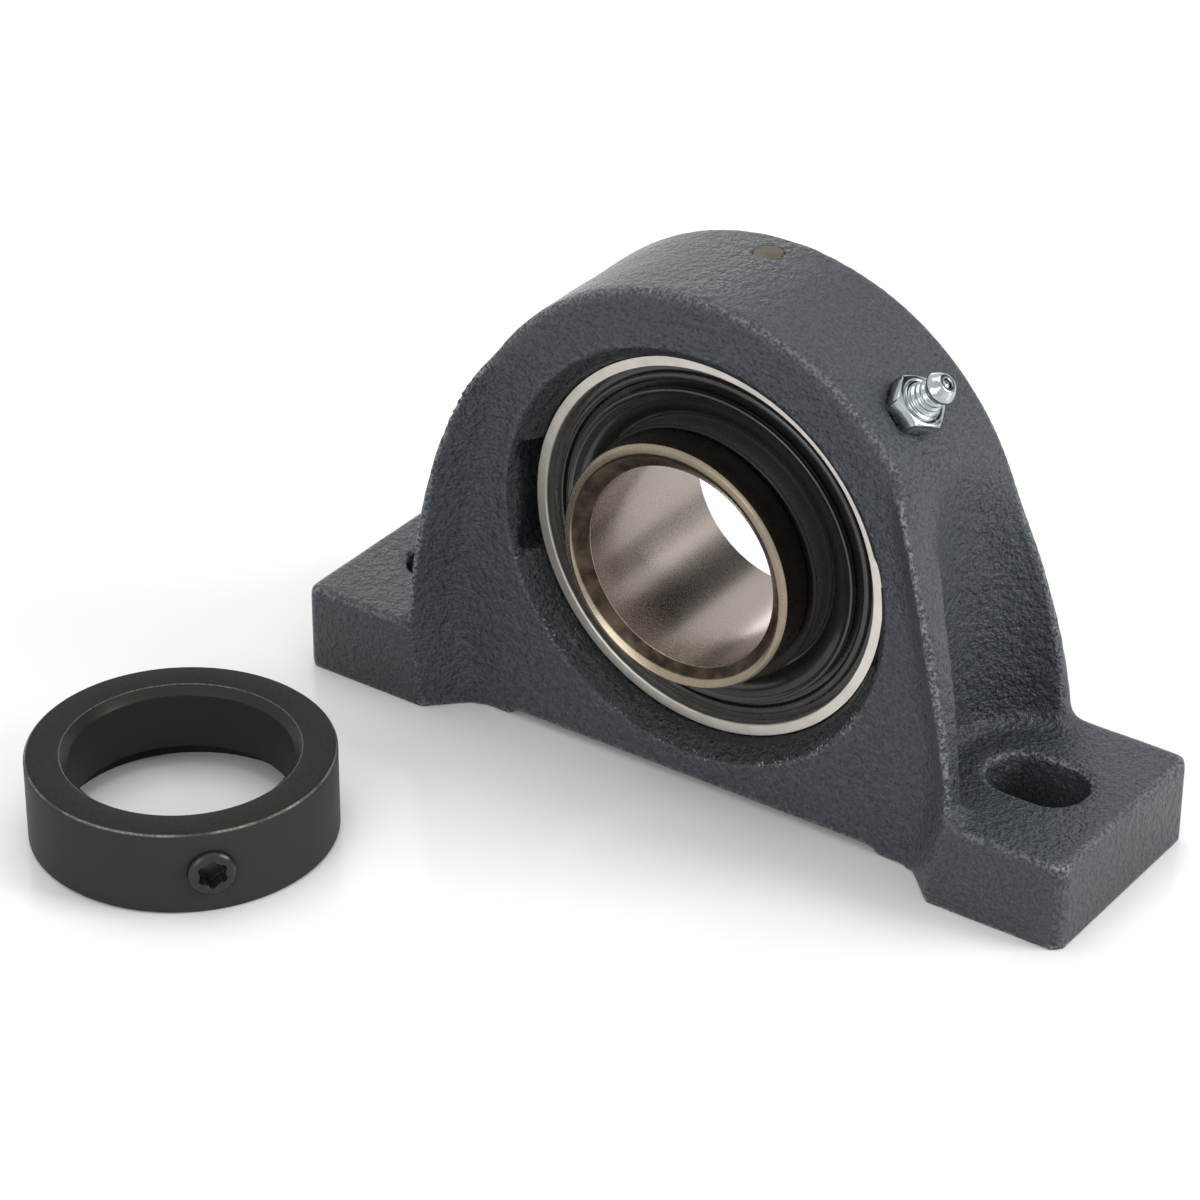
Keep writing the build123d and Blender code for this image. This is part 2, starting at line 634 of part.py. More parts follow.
def make_check_ball():
    return nipple_frame() * Pos(0, 0, nipple_height() - CHECK_BALL_DEPTH) * Sphere(CHECK_BALL_RADIUS)


def make_check_spring():
    """Small coil spring that holds the check ball against its seat."""
    low = -NIPPLE_THREAD_LENGTH + NIPPLE_FLOOR + SPRING_GAP + SPRING_WIRE_RADIUS
    high = nipple_height() - CHECK_BALL_DEPTH - CHECK_BALL_RADIUS - SPRING_GAP - SPRING_WIRE_RADIUS
    radius = NIPPLE_CHANNEL_RADIUS - SPRING_GAP - SPRING_WIRE_RADIUS
    coil = Helix(pitch=(high - low) / SPRING_TURNS, height=high - low, radius=radius)
    section = Plane(origin=coil @ 0, z_dir=coil % 0) * Circle(SPRING_WIRE_RADIUS)
    return nipple_frame() * Pos(0, 0, low) * sweep(section, path=coil)


# Locking collar

def collar_frame():
    return Pos(COLLAR_CENTRE_X, COLLAR_CENTRE_Y, 0)


def screw_frame():
    """Location with Z along the set screw, pointing outwards from the collar."""
    return collar_frame() * Pos(0, 0, SCREW_HEIGHT) * Rot(0, 0, SCREW_DIRECTION) * Rot(0, 90, 0)


def make_locking_collar():
    collar = rod(COLLAR_RADIUS, 0, COLLAR_HEIGHT)
    collar = chamfer(collar.edges().filter_by(GeomType.CIRCLE), COLLAR_EDGE_CHAMFER)
    collar -= rod(COLLAR_BORE_RADIUS, -1, COLLAR_HEIGHT + 1)
    collar -= turned([
        (0, COLLAR_HEIGHT - COLLAR_BORE_CHAMFER),
        (COLLAR_BORE_RADIUS, COLLAR_HEIGHT - COLLAR_BORE_CHAMFER),
        (COLLAR_BORE_RADIUS + COLLAR_BORE_CHAMFER, COLLAR_HEIGHT),
        (0, COLLAR_HEIGHT),
    ])
    recess = rod(NOSE_RADIUS + COLLAR_RECESS_CLEARANCE, -1, COLLAR_RECESS_DEPTH)
    away = math.radians(SCREW_DIRECTION + 90)
    collar -= Pos(NOSE_ECCENTRICITY * math.cos(away), NOSE_ECCENTRICITY * math.sin(away), 0) * recess
    screw_hole = rod(SCREW_RADIUS + SCREW_CLEARANCE, COLLAR_BORE_RADIUS / 2, COLLAR_RADIUS + 5)
    return collar_frame() * collar - screw_frame() * screw_hole


def make_set_screw():
    """Cup-point set screw with a six-lobe socket."""
    outer = COLLAR_RADIUS + SCREW_PROUD
    inner = outer - SCREW_LENGTH
    edge = SCREW_RADIUS * 0.12
    screw = turned([
        (0, inner + SCREW_CUP_DEPTH),
        (SCREW_CUP_RADIUS, inner),
        (SCREW_CUP_RADIUS + edge, inner),
        (SCREW_RADIUS, inner + SCREW_CUP_DEPTH),
        (SCREW_RADIUS, outer - edge),
        (SCREW_RADIUS - edge, outer),
        (0, outer),
    ])
    socket = Circle(SCREW_SOCKET_RADIUS - SOCKET_LOBE_RADIUS * 0.6)
    for k in range(SOCKET_LOBES):
        turn = math.radians(360 * k / SOCKET_LOBES)
        reach = SCREW_SOCKET_RADIUS - SOCKET_LOBE_RADIUS
        socket += Pos(reach * math.cos(turn), reach * math.sin(turn)) * Circle(SOCKET_LOBE_RADIUS)
    screw -= Pos(0, 0, outer - SCREW_SOCKET_DEPTH) * extrude(socket, SCREW_SOCKET_DEPTH + 1)
    return screw_frame() * screw


def make_parts():
    front_shell = make_seal_shell()
    front_lip = make_seal_lip()
    front_flinger = make_flinger()
    front_cage = make_cage_half()
    parts = {
        "housing": make_housing(),
        "locating_pin": make_locating_pin(),
        "grease_nipple_body": make_nipple_body(),
        "grease_nipple_check_ball": make_check_ball(),
        "grease_nipple_spring": make_check_spring(),
        "outer_ring": on_shaft(make_outer_ring()),
        "front_seal_shell": on_shaft(front_shell),
        "front_seal_lip": on_shaft(front_lip),
        "rear_seal_shell": on_shaft(mirror(front_shell, about=Plane.XY)),
        "rear_seal_lip": on_shaft(mirror(front_lip, about=Plane.XY)),
        "inner_ring": on_shaft(make_inner_ring()),
        "front_flinger": on_shaft(front_flinger),
        "rear_flinger": on_shaft(mirror(front_flinger, about=Plane.XY)),
        "cage_front_half": on_shaft(front_cage),
        "cage_rear_half": on_shaft(mirror(front_cage, about=Plane.XY)),
        "cage_rivets": Compound(children=[on_shaft(rivet) for rivet in make_cage_rivets()]),
        "locking_collar": make_locking_collar(),
        "collar_set_screw": make_set_screw(),
    }
    for number, angle in enumerate(ball_places(), start=1):
        parts[f"ball_{number}"] = on_shaft(at_pitch(angle) * Sphere(BALL_RADIUS))
    return parts


os.makedirs("parts", exist_ok=True)
for name, shape in make_parts().items():
    export_step(shape, f"parts/{name}.step")
    print(name, "volume", round(shape.volume, 1))
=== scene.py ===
"""Looks of a pillow block bearing: painted cast housing, ball insert and a loose locking collar.

Everything is in metres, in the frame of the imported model: +Z up, the shaft along Y,
the front towards -Y. Each sub-assembly is a class that builds and dresses its pieces.
"""

import json
import logging
import math
from dataclasses import dataclass
from enum import Enum
from typing import Any, Sequence, Union

import bmesh
import bpy
from mathutils import Matrix, Vector, noise


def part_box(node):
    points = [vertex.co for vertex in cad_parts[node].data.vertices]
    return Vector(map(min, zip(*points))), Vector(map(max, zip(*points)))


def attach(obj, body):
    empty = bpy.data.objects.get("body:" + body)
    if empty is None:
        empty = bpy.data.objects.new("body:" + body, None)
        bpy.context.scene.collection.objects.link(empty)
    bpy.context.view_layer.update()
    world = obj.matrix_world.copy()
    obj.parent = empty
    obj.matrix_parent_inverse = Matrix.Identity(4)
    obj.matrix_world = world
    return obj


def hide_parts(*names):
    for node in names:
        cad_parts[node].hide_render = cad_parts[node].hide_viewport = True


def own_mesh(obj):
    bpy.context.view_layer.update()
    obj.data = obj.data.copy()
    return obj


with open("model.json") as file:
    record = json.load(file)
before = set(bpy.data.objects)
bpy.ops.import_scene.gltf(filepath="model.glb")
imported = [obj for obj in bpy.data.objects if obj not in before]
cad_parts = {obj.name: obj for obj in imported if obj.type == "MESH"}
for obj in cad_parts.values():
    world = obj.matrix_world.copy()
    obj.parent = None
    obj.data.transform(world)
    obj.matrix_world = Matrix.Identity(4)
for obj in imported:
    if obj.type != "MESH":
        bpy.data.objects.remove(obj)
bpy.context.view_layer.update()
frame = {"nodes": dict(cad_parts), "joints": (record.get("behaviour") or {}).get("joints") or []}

MM = 0.001
LOG = logging.getLogger("bearing")
Colour = tuple[float, float, float]
Value = Union["Signal", float]


class Side(Enum):
    """Which face of the insert a turned piece belongs to."""

    FRONT = 1.0
    REAR = -1.0


class Cut(Enum):
    """What a cutter leaves of a piece."""

    OUTSIDE = "DIFFERENCE"
    INSIDE = "INTERSECT"


class Slot(Enum):
    """Names of the material slots in the record."""

    HOUSING = "housing_paint"
    PIN = "brass"
    NIPPLE = "zinc_plate"
    SPRING = "spring_steel"
    RING = "ring_steel"
    INNER = "inner_ring_steel"
    SHELL = "shield_black"
    FLINGER = "flinger_black"
    COLLAR = "collar_black_oxide"
    SCREW = "screw_black_oxide"


# Shader building

class Signal:
    """An output of a shader node that takes part in arithmetic."""

    def __init__(self, graph: "Graph", socket: bpy.types.NodeSocket) -> None:
        """Keep the graph, so that an expression can add its own nodes."""
        self.graph = graph
        self.socket = socket

    def _math(self, operation: str, *values: Value) -> "Signal":
        """Add one Math node on the given values."""
        return self.graph.add("ShaderNodeMath", {"operation": operation}, dict(enumerate(values)))

    def __add__(self, other: Value) -> "Signal":
        """Sum."""
        return self._math("ADD", self, other)

    __radd__ = __add__

    def __mul__(self, other: Value) -> "Signal":
        """Product."""
        return self._math("MULTIPLY", self, other)

    __rmul__ = __mul__

    def __sub__(self, other: Value) -> "Signal":
        """Difference."""
        return self._math("SUBTRACT", self, other)

    def __rsub__(self, other: Value) -> "Signal":
        """Difference with the signal second."""
        return self._math("SUBTRACT", other, self)

    def __pow__(self, other: Value) -> "Signal":
        """Power."""
        return self._math("POWER", self, other)

    def above(self, other: Value) -> "Signal":
        """The larger of two values."""
        return self._math("MAXIMUM", self, other)

    def ramp(self, low: float, high: float) -> "Signal":
        """Rise smoothly from 0 at low to 1 at high.

        Args:
            low: Value that gives 0.
            high: Value that gives 1. It may be the smaller one.
        Returns:
            The smooth step.
        """
        settings = {"interpolation_type": "SMOOTHSTEP"}
        return self.graph.add("ShaderNodeMapRange", settings, {0: self, 1: low, 2: high})


class Graph:
    """A material or world under construction."""

    def __init__(self, owner: Union[bpy.types.Material, bpy.types.World]) -> None:
        """Start with no nodes.

        Args:
            owner: The new material or world that gets the nodes.
        """
        self.owner = owner
        owner.use_nodes = True
        self.tree = owner.node_tree
        self.tree.nodes.clear()

    @classmethod
    def material(cls, name: str) -> "Graph":
        """Start a new material of the given name."""
        return cls(bpy.data.materials.new(name))

    def add(
        self,
        kind: str,
        settings: dict[str, Any] | None = None,
        inputs: dict[Any, Any] | None = None,
        output: Any = 0,
    ) -> Signal:
        """Add one node.

        Args:
            kind: The node's type.
            settings: Properties that are set first.
            inputs: Values or links of its sockets, by name or number.
            output: Name or number of the output to return.
        Returns:
            That output as a signal.
        """
        node = self.tree.nodes.new(kind)
        for key, value in (settings or {}).items():
            setattr(node, key, value)
        for key, value in (inputs or {}).items():
            if isinstance(value, Signal):
                self.tree.links.new(value.socket, node.inputs[key])
            elif isinstance(value, tuple) and len(value) == 3 and node.inputs[key].type == "RGBA":
                node.inputs[key].default_value = (*value, 1.0)
            else:
                node.inputs[key].default_value = value
        return Signal(self, node.outputs[output])

    def place(self) -> Signal:
        """Object coordinates of the shaded point."""
        return self.add("ShaderNodeTexCoord", output="Object")

    def place_from(self, centre: Vector) -> Signal:
        """Object coordinates, measured from a point."""
        settings = {"operation": "SUBTRACT"}
        return self.add("ShaderNodeVectorMath", settings, {0: self.place(), 1: centre})

    def parts(self, vector: Signal) -> tuple[Signal, Signal, Signal]:
        """Split a vector.

        Args:
            vector: The vector signal.
        Returns:
            Its three numbers.
        """
        split = self.add("ShaderNodeSeparateXYZ", inputs={0: vector})
        outputs = split.socket.node.outputs
        return tuple(Signal(self, outputs[k]) for k in range(3))

    def join(self, x: Value, y: Value, z: Value) -> Signal:
        """Make a vector of three numbers."""
        return self.add("ShaderNodeCombineXYZ", inputs={0: x, 1: y, 2: z})

    def grain(self, vector: Signal, size: float, detail: float = 2.0, rough: float = 0.5) -> Signal:
        """Noise from 0 to 1.

        Args:
            vector: Where the noise is read.
            size: Size of its lumps in metres.
            detail: Octaves.
            rough: Share that each finer octave keeps.
        Returns:
            The noise value.
        """
        inputs = {"Vector": vector, "Scale": 1.0 / size, "Detail": detail, "Roughness": rough}
        return self.add("ShaderNodeTexNoise", {"noise_dimensions": "3D"}, inputs, "Fac")

    def mix(self, share: Value, first: Union[Signal, Colour], second: Union[Signal, Colour]) -> Signal:
        """Blend two colours.

        Args:
            share: 0 gives the first colour and 1 the second.
            first: Colour or link.
            second: Colour or link.
        Returns:
            The blended colour.
        """
        settings = {"data_type": "RGBA", "clamp_factor": True}
        return self.add("ShaderNodeMix", settings, {0: share, 6: first, 7: second}, 2)

    def bump(self, height: Signal, depth: float) -> Signal:
        """Turn a height from 0 to 1 into a normal.

        Args:
            height: The height signal.
            depth: Depth in metres that a height of 1 stands for.
        Returns:
            The bumped normal.
        """
        return self.add("ShaderNodeBump", None, {"Height": height, "Distance": depth})

    def edges(self) -> Signal:
        """How convex the surface is: about 0.5 on flats, more on edges."""
        return self.add("ShaderNodeNewGeometry", output="Pointiness")

    def finish(self, **sockets: Any) -> bpy.types.Material:
        """Close the material with a Principled shader.

        Args:
            sockets: Values or links, named as the sockets with _ for a space.
        Returns:
            The finished material.
        """
        inputs = {key.replace("_", " "): value for key, value in sockets.items()}
        self.show(self.add("ShaderNodeBsdfPrincipled", None, inputs), "ShaderNodeOutputMaterial")
        return self.owner

    def show(self, shader: Signal, kind: str) -> None:
        """Link a shader to a new output node of the given kind."""
        output = self.tree.nodes.new(kind)
        self.tree.links.new(shader.socket, output.inputs["Surface"])


def span(first: Signal, second: Signal) -> Signal:
    """Length of the line whose two parts are given."""
    return (first * first + second * second) ** 0.5


def shaft_centre() -> Vector:
    """Centre of the shaft bore, taken from the spinning joint."""
    return next(Vector(j["pos_m"]) for j in frame["joints"] if j["name"] == "shaft_spin")


# Finishes

@dataclass(frozen=True)
class CastPaint:
    """Charcoal paint over sand-cast iron, with a fine pebbled grain, rubbed edges, and painted
    highlight and shade.
    """

    pin: Vector
    centre: Vector
    colour: Colour = (0.028, 0.034, 0.041)
    # The pale tone is random tone, and painted highlight on the grain's peaks.
    pale: Colour = (0.075, 0.083, 0.092)
    # The next tone is painted shade in pits, creases and the bore's mouth, and also the joint line
    # round the pin.
    shade_and_joint_dark: Colour = (0.008, 0.009, 0.010)
    tan: Colour = (0.16, 0.11, 0.07)
    # This colour is worn paint, and also painted highlight along the crests.
    chip_and_highlight: Colour = (0.42, 0.43, 0.44)
    pebble: float = 0.58 * MM
    ripple: float = 1.5 * MM
    swell: float = 9.0 * MM
    depth: float = 0.95 * MM
    roughness: float = 0.29
    gloss: float = 0.30
    pin_radius: float = 2.5 * MM
    pin_low: float = 85 * MM
    pin_high: float = 90 * MM
    foot_height: float = 16.3 * MM
    foot_speck: float = 1.6 * MM
    foot_patch: float = 14.0 * MM
    mouth_radius: float = 38.0 * MM
    mouth_blur: float = 0.15 * MM
    rim_inside: float = 0.9 * MM
    rim_outside: float = 0.8 * MM
    rim_blur: float = 0.2 * MM
    chip_size: float = 0.42 * MM
    chip_patch: float = 5.0 * MM
    chip_top: float = -5 * MM
    chip_full: float = -20 * MM

    def make(self) -> bpy.types.Material:
        """Build the finish.

        Returns:
            Its material.
        """
        g = Graph.material("cast_paint")
        place = g.place()
        pebble = g.grain(place, self.pebble, 2.0, 0.6)
        ripple = g.grain(place, self.ripple, 2.0, 0.5)
        swell = g.grain(place, self.swell, 2.0, 0.5)
        height = pebble * 0.5 + ripple * 0.9
        mouth, rim, chips = self.mouth(g, place)
        # Rubbed crests: worn paint, and painted highlight along the edges.
        rubbed = g.edges().ramp(0.510, 0.555) * (1.0 - rim * 0.85)
        # Painted shade in concave creases.
        crease_shade = g.edges().ramp(0.485, 0.42)
        # Painted highlight on the pebbles' peaks, with some random tone from the swell, then painted
        # shade in their pits.
        tone = g.mix(pebble.ramp(0.44, 0.66) * 0.36 + swell * 0.12, self.colour, self.pale)
        tone = g.mix(pebble.ramp(0.46, 0.30) * 0.42, tone, self.shade_and_joint_dark)
        # Paler crests: worn paint and painted edge highlight.
        tone = g.mix(rubbed * pebble.ramp(0.42, 0.62) * 0.42, tone, self.chip_and_highlight)
        # Painted shade in the creases.
        tone = g.mix(crease_shade * 0.65, tone, self.shade_and_joint_dark)
        tone = g.mix(self.specks(g, place) * 0.55, tone, self.tan)
        tone = g.mix(self.pin_edge(g, place) * 0.8, tone, self.shade_and_joint_dark)
        # Painted shade inside the bore's mouth.
        tone = g.mix(mouth * 0.72, tone, self.shade_and_joint_dark)
        tone = g.mix(chips * 0.8, tone, self.chip_and_highlight)
        return g.finish(
            Base_Color=tone,
            Roughness=self.roughness + (pebble - 0.5) * 0.30 + (swell - 0.5) * 0.15 + mouth * 0.12,
            Specular_IOR_Level=self.gloss,
            Normal=g.bump(height, self.depth),
        )

    def specks(self, g: Graph, place: Signal) -> Signal:
        """Sparse tan specks on the tops of the feet.

        Args:
            g: The material.
            place: Object coordinates.
        Returns:
            The mask of the specks.
        """
        spots = g.grain(place, self.foot_speck, 1.0, 0.4).ramp(0.73, 0.78)
        patch = g.grain(place, self.foot_patch, 1.0, 0.4).ramp(0.50, 0.60)
        height = g.parts(place)[2]
        foot = height.ramp(self.foot_height + 2.5 * MM, self.foot_height + 0.5 * MM)
        return spots * patch * foot

    def mouth(self, g: Graph, place: Signal) -> tuple[Signal, Signal, Signal]:
        """Painted shade inside the bore's mouth, and chips along its lower edge.

        Args:
            g: The material.
            place: Object coordinates.
        Returns:
            The masks of the mouth's painted shade, of its edge and of the chips.
        """
        x, _, z = g.parts(g.place_from(self.centre))
        radius = span(x, z)
        edge = self.mouth_radius
        inside = radius.ramp(edge + self.mouth_blur, edge - self.mouth_blur)
        near = radius.ramp(edge - self.rim_inside, edge - self.rim_blur)
        near = near * radius.ramp(edge + self.rim_outside, edge + self.rim_blur)
        spots = g.grain(place, self.chip_size, 1.0, 0.5).ramp(0.60, 0.68)
        patch = g.grain(place, self.chip_patch, 1.0, 0.5).ramp(0.42, 0.60)
        low = z.ramp(self.chip_top, self.chip_full)
        return inside, near, near * spots * patch * low

    def pin_edge(self, g: Graph, place: Signal) -> Signal:
        """Dark line round the locating pin.

        Args:
            g: The material.
            place: Object coordinates.
        Returns:
            The mask of the line.
        """
        x, y, z = g.parts(place)
        distance = span(x - self.pin.x, y - self.pin.y)
        near = distance.ramp(self.pin_radius + 0.5 * MM, self.pin_radius + 0.1 * MM)
        return near * z.ramp(self.pin_low, self.pin_high)


@dataclass(frozen=True)
class TurnedMetal:
    """Ground or turned metal with fine circular grain round an axis along Y."""

    name: str
    colour: Colour
    tint: Colour
    roughness: float
    centre: Vector
    groove: float = 0.12 * MM
    cloud: float = 4.0 * MM
    fleck: float = 0.35 * MM
    depth: float = 0.002 * MM

    def make(self) -> bpy.types.Material:
        """Build the finish.

        Returns:
            Its material.
        """
        g = Graph.material(self.name)
        place = g.place_from(self.centre)
        x, y, z = g.parts(place)
        lines = g.grain(g.join(span(x, z), y, 0.0), self.groove, 2.0, 0.6)
        cloud = g.grain(place, self.cloud, 3.0, 0.5)
        fleck = g.grain(place, self.fleck, 1.0, 0.5)
        tone = g.mix(cloud.ramp(0.35, 0.7) * 0.5 + lines * 0.4, self.colour, self.tint)
        return g.finish(
            Base_Color=tone,
            Metallic=1.0,
            Roughness=self.roughness + (lines - 0.5) * 0.18 + (cloud - 0.5) * 0.10,
            Normal=g.bump(lines * 0.8 + fleck * 0.2, self.depth),
        )


@dataclass(frozen=True)
class InnerRingSteel:
    """Ground bore, bronzed end chamfer and face, and black nose of the inner ring."""

    centre: Vector
    bore_radius: float = 18.256 * MM
    nose_end: float = 19.5 * MM
    nose_rise: float = 0.8 * MM
    nose_radius: float = 22.3 * MM
    bore: Colour = (0.405, 0.36, 0.32)
    bore_shade: Colour = (0.30, 0.26, 0.23)
    face: Colour = (0.33, 0.28, 0.205)
    bronze: Colour = (0.075, 0.052, 0.033)
    black: Colour = (0.012, 0.011, 0.010)
    shoulder: Colour = (0.13, 0.125, 0.116)
    shoulder_end: float = 11.7 * MM
    groove: float = 0.10 * MM
    cloud: float = 3.0 * MM
    fleck: float = 0.30 * MM
    depth: float = 0.004 * MM

    def nose_masks(self, x: Signal, along: Signal, z: Signal) -> tuple[Signal, Signal]:
        """Where the nose is bronzed.

        Args:
            x: Place across the shaft.
            along: Place along the shaft, towards the front.
            z: Height over the shaft's axis.
        Returns:
            The masks of the end face with its chamfer, and of the lead-in cone.
        """
        cam = span(x, z - self.nose_rise)
        end = along.ramp(self.nose_end - 0.55 * MM, self.nose_end - 0.35 * MM)
        end = end.above(cam.ramp(self.nose_radius - 0.15 * MM, self.nose_radius - 0.25 * MM))
        end = end * along.ramp(self.nose_end - 2.0 * MM, self.nose_end - 1.6 * MM)
        end = end * cam.ramp(self.nose_radius - 1.75 * MM, self.nose_radius - 1.45 * MM)
        cone = along.ramp(self.nose_end - 2.6 * MM, self.nose_end - 2.2 * MM)
        cone = cone * span(x, z).ramp(self.bore_radius + 2.9 * MM, self.bore_radius + 2.5 * MM)
        return end, cone

    def make(self) -> bpy.types.Material:
        """Build the finish.

        Returns:
            Its material.
        """
        g = Graph.material("inner_ring_steel")
        place = g.place_from(self.centre)
        x, y, z = g.parts(place)
        radius = span(x, z)
        along = y * -1.0
        lines = g.grain(g.join(radius, y, 0.0), self.groove, 2.0, 0.6)
        cloud = g.grain(place, self.cloud, 3.0, 0.55)
        fleck = g.grain(place, self.fleck, 1.0, 0.5)
        inside = radius.ramp(self.bore_radius + 0.12 * MM, self.bore_radius + 0.04 * MM)
        end, cone = self.nose_masks(x, along, z)
        satin = along.ramp(self.shoulder_end + 0.1 * MM, self.shoulder_end) * (1.0 - inside)
        tone = g.mix(cloud * 0.25, self.black, self.bronze)
        tone = g.mix(satin * 0.8, tone, self.shoulder)
        tone = g.mix(cone * cloud.ramp(0.30, 0.70), tone, self.bronze)
        tone = g.mix(end * (cloud * 0.35 + fleck * 0.30 + 0.50), tone, self.face)
        ground = g.mix(fleck * 0.4 + lines * 0.3, self.bore, self.bore_shade)
        tone = g.mix(inside, tone, ground)
        coated = 0.30 + (fleck - 0.5) * 0.25 + (cloud - 0.5) * 0.15
        bare = 0.27 + (lines - 0.5) * 0.08 + (fleck - 0.5) * 0.10
        bare_share = inside.above(end)
        return g.finish(
            Base_Color=tone,
            Metallic=bare_share * 0.35 + 0.65,
            Roughness=coated * (1.0 - bare_share) + bare * bare_share,
            Specular_IOR_Level=0.2,
            Normal=g.bump(lines * 0.15 + fleck * 0.85, self.depth),
        )


@dataclass(frozen=True)
class BlackFinish:
    """Thin black coat over steel, with a soft sheen and a speckled grain."""

    name: str
    colour: Colour
    worn: Colour
    roughness: float
    gloss: float = 0.4
    speck: float = 0.25 * MM
    cloud: float = 5.0 * MM
    depth: float = 0.008 * MM

    def make(self) -> bpy.types.Material:
        """Build the finish.

        Returns:
            Its material.
        """
        g = Graph.material(self.name)
        place = g.place()
        speck = g.grain(place, self.speck, 2.0, 0.6)
        cloud = g.grain(place, self.cloud, 3.0, 0.55)
        rubbed = g.edges().ramp(0.53, 0.62) * cloud.ramp(0.30, 0.60)
        tone = g.mix(cloud * 0.30 + speck.ramp(0.60, 0.78) * 0.25, self.colour, self.worn)
        tone = g.mix(rubbed * 0.6, tone, self.worn)
        return g.finish(
            Base_Color=tone,
            Roughness=self.roughness + (speck - 0.5) * 0.22 + (cloud - 0.5) * 0.14,
            Specular_IOR_Level=self.gloss,
            Normal=g.bump(speck, self.depth),
        )


@dataclass(frozen=True)
class CollarCoat:
    """Black oxide on a turned collar: warm and speckled on top, rubbed along its edges, with painted
    shade on top and painted light on the outer side.
    """

    centre: Vector
    radius: float
    top: float
    mouth: float
    colour: Colour = (0.022, 0.0212, 0.0215)
    # The outer side's tone is painted light; the top's tone is a warm tint with painted shade.
    painted_light_flank: Colour = (0.031, 0.031, 0.0315)
    crown: Colour = (0.0155, 0.0145, 0.013)
    sheen: Colour = (0.058, 0.050, 0.038)
    bare: Colour = (0.36, 0.34, 0.29)
    rim: float = 0.5 * MM
    chamfer: float = 1.5 * MM
    groove: float = 0.14 * MM
    speck: float = 0.24 * MM
    cloud: float = 5.0 * MM
    roughness: float = 0.44
    gloss: float = 0.05
    depth: float = 0.016 * MM

    def edge_masks(self, radius: Signal, z: Signal) -> tuple[Signal, Signal, Signal]:
        """Where the collar's edges and its bore chamfer are.

        Args:
            radius: Distance from the collar's axis.
            z: Height over the table.
        Returns:
            The masks of the outer upper edge, of the bore's upper edge and of the chamfer.
        """
        outer = radius.ramp(self.radius - 0.9 * self.rim, self.radius - 0.65 * self.rim)
        upper = z.ramp(self.top - 0.9 * self.rim, self.top - 0.65 * self.rim)
        line = radius.ramp(self.mouth - 0.15 * MM, self.mouth) * z.ramp(self.top - 0.2 * MM, self.top)
        line = line * radius.ramp(self.mouth + 0.15 * MM, self.mouth + 0.05 * MM)
        start = self.top - self.chamfer
        cone = radius.ramp(self.mouth, self.mouth - 0.1 * MM) * z.ramp(start, start + 0.1 * MM)
        return outer * upper, line, cone

    def make(self) -> bpy.types.Material:
        """Build the finish.

        Returns:
            Its material.
        """
        g = Graph.material("collar_coat")
        place = g.place()
        x, y, z = g.parts(g.place_from(self.centre))
        radius = span(x, y)
        lines = g.grain(g.join(radius, z, 0.0), self.groove, 2.0, 0.6)
        speck = g.grain(place, self.speck, 2.0, 0.6)
        cloud = g.grain(place, self.cloud, 3.0, 0.55)
        outer, line, cone = self.edge_masks(radius, z)
        rubbed = outer * (cloud.ramp(0.35, 0.60) * 0.5 + 0.15) + line * 0.35
        worn = rubbed * (speck.ramp(0.40, 0.62) * 0.6 + 0.4)
        face = z.ramp(self.top - 0.06 * MM, self.top - 0.01 * MM)
        side = radius.ramp(self.radius - 0.2 * MM, self.radius - 0.1 * MM)
        # Painted shade on the top face, which also keeps its warm tint, and painted light on the outer
        # side.
        tone = g.mix(face, g.mix(side, self.colour, self.painted_light_flank), self.crown)
        tone = g.mix(face * speck.ramp(0.52, 0.74) * 0.5 + cone * 0.3, tone, self.sheen)
        tone = g.mix(worn, tone, self.bare)
        coated = self.roughness + (speck - 0.5) * 0.22 + (lines - 0.5) * 0.12
        return g.finish(
            Base_Color=tone,
            Metallic=worn * 0.8 + cone * 0.4,
            Roughness=coated - (worn + cone) * 0.16,
            Specular_IOR_Level=self.gloss,
            Normal=g.bump(speck * 0.6 + lines * 0.4, self.depth),
        )


@dataclass(frozen=True)
class PlainMetal:
    """Small metal pieces: plated, polished or drawn."""

    name: str
    colour: Colour
    roughness: float
    grain: float = 0.4 * MM
    cloud: float = 3.0 * MM
    shading: float = 0.62
    depth: float = 0.004 * MM

    def make(self) -> bpy.types.Material:
        """Build the finish.

        Returns:
            Its material.
        """
        g = Graph.material(self.name)
        place = g.place()
        fine = g.grain(place, self.grain, 2.0, 0.5)
        cloud = g.grain(place, self.cloud, 2.0, 0.5)
        shade = tuple(channel * self.shading for channel in self.colour)
        return g.finish(
            Base_Color=g.mix(cloud.ramp(0.35, 0.7) * 0.6, self.colour, shade),
            Metallic=1.0,
            Roughness=self.roughness + (fine - 0.5) * 0.16 + (cloud - 0.5) * 0.10,
            Normal=g.bump(fine, self.depth),
        )


# Mesh helpers

def apply_modifiers(piece: bpy.types.Object) -> None:
    """Bake a piece's modifiers into its mesh.

    Args:
        piece: The object whose modifiers are applied.
    """
    graph = bpy.context.evaluated_depsgraph_get()
    mesh = bpy.data.meshes.new_from_object(piece.evaluated_get(graph))
    piece.modifiers.clear()
    piece.data = mesh


def smooth_shading(piece: bpy.types.Object) -> None:
    """Shade a piece smoothly, except at edges sharper than 35 degrees."""
    piece.data.shade_smooth()
    piece.data.set_sharp_from_angle(angle=math.radians(35))


def add_piece(name: str, mesh: bmesh.types.BMesh) -> bpy.types.Object:
    """Make an object of a bmesh, smooth except at sharp edges.

    Args:
        name: Name of the piece.
        mesh: Its geometry, freed here.
    Returns:
        The linked object.
    """
    data = bpy.data.meshes.new(name)
    mesh.to_mesh(data)
    mesh.free()
    piece = bpy.data.objects.new(name, data)
    bpy.context.scene.collection.objects.link(piece)
    smooth_shading(piece)
    return piece


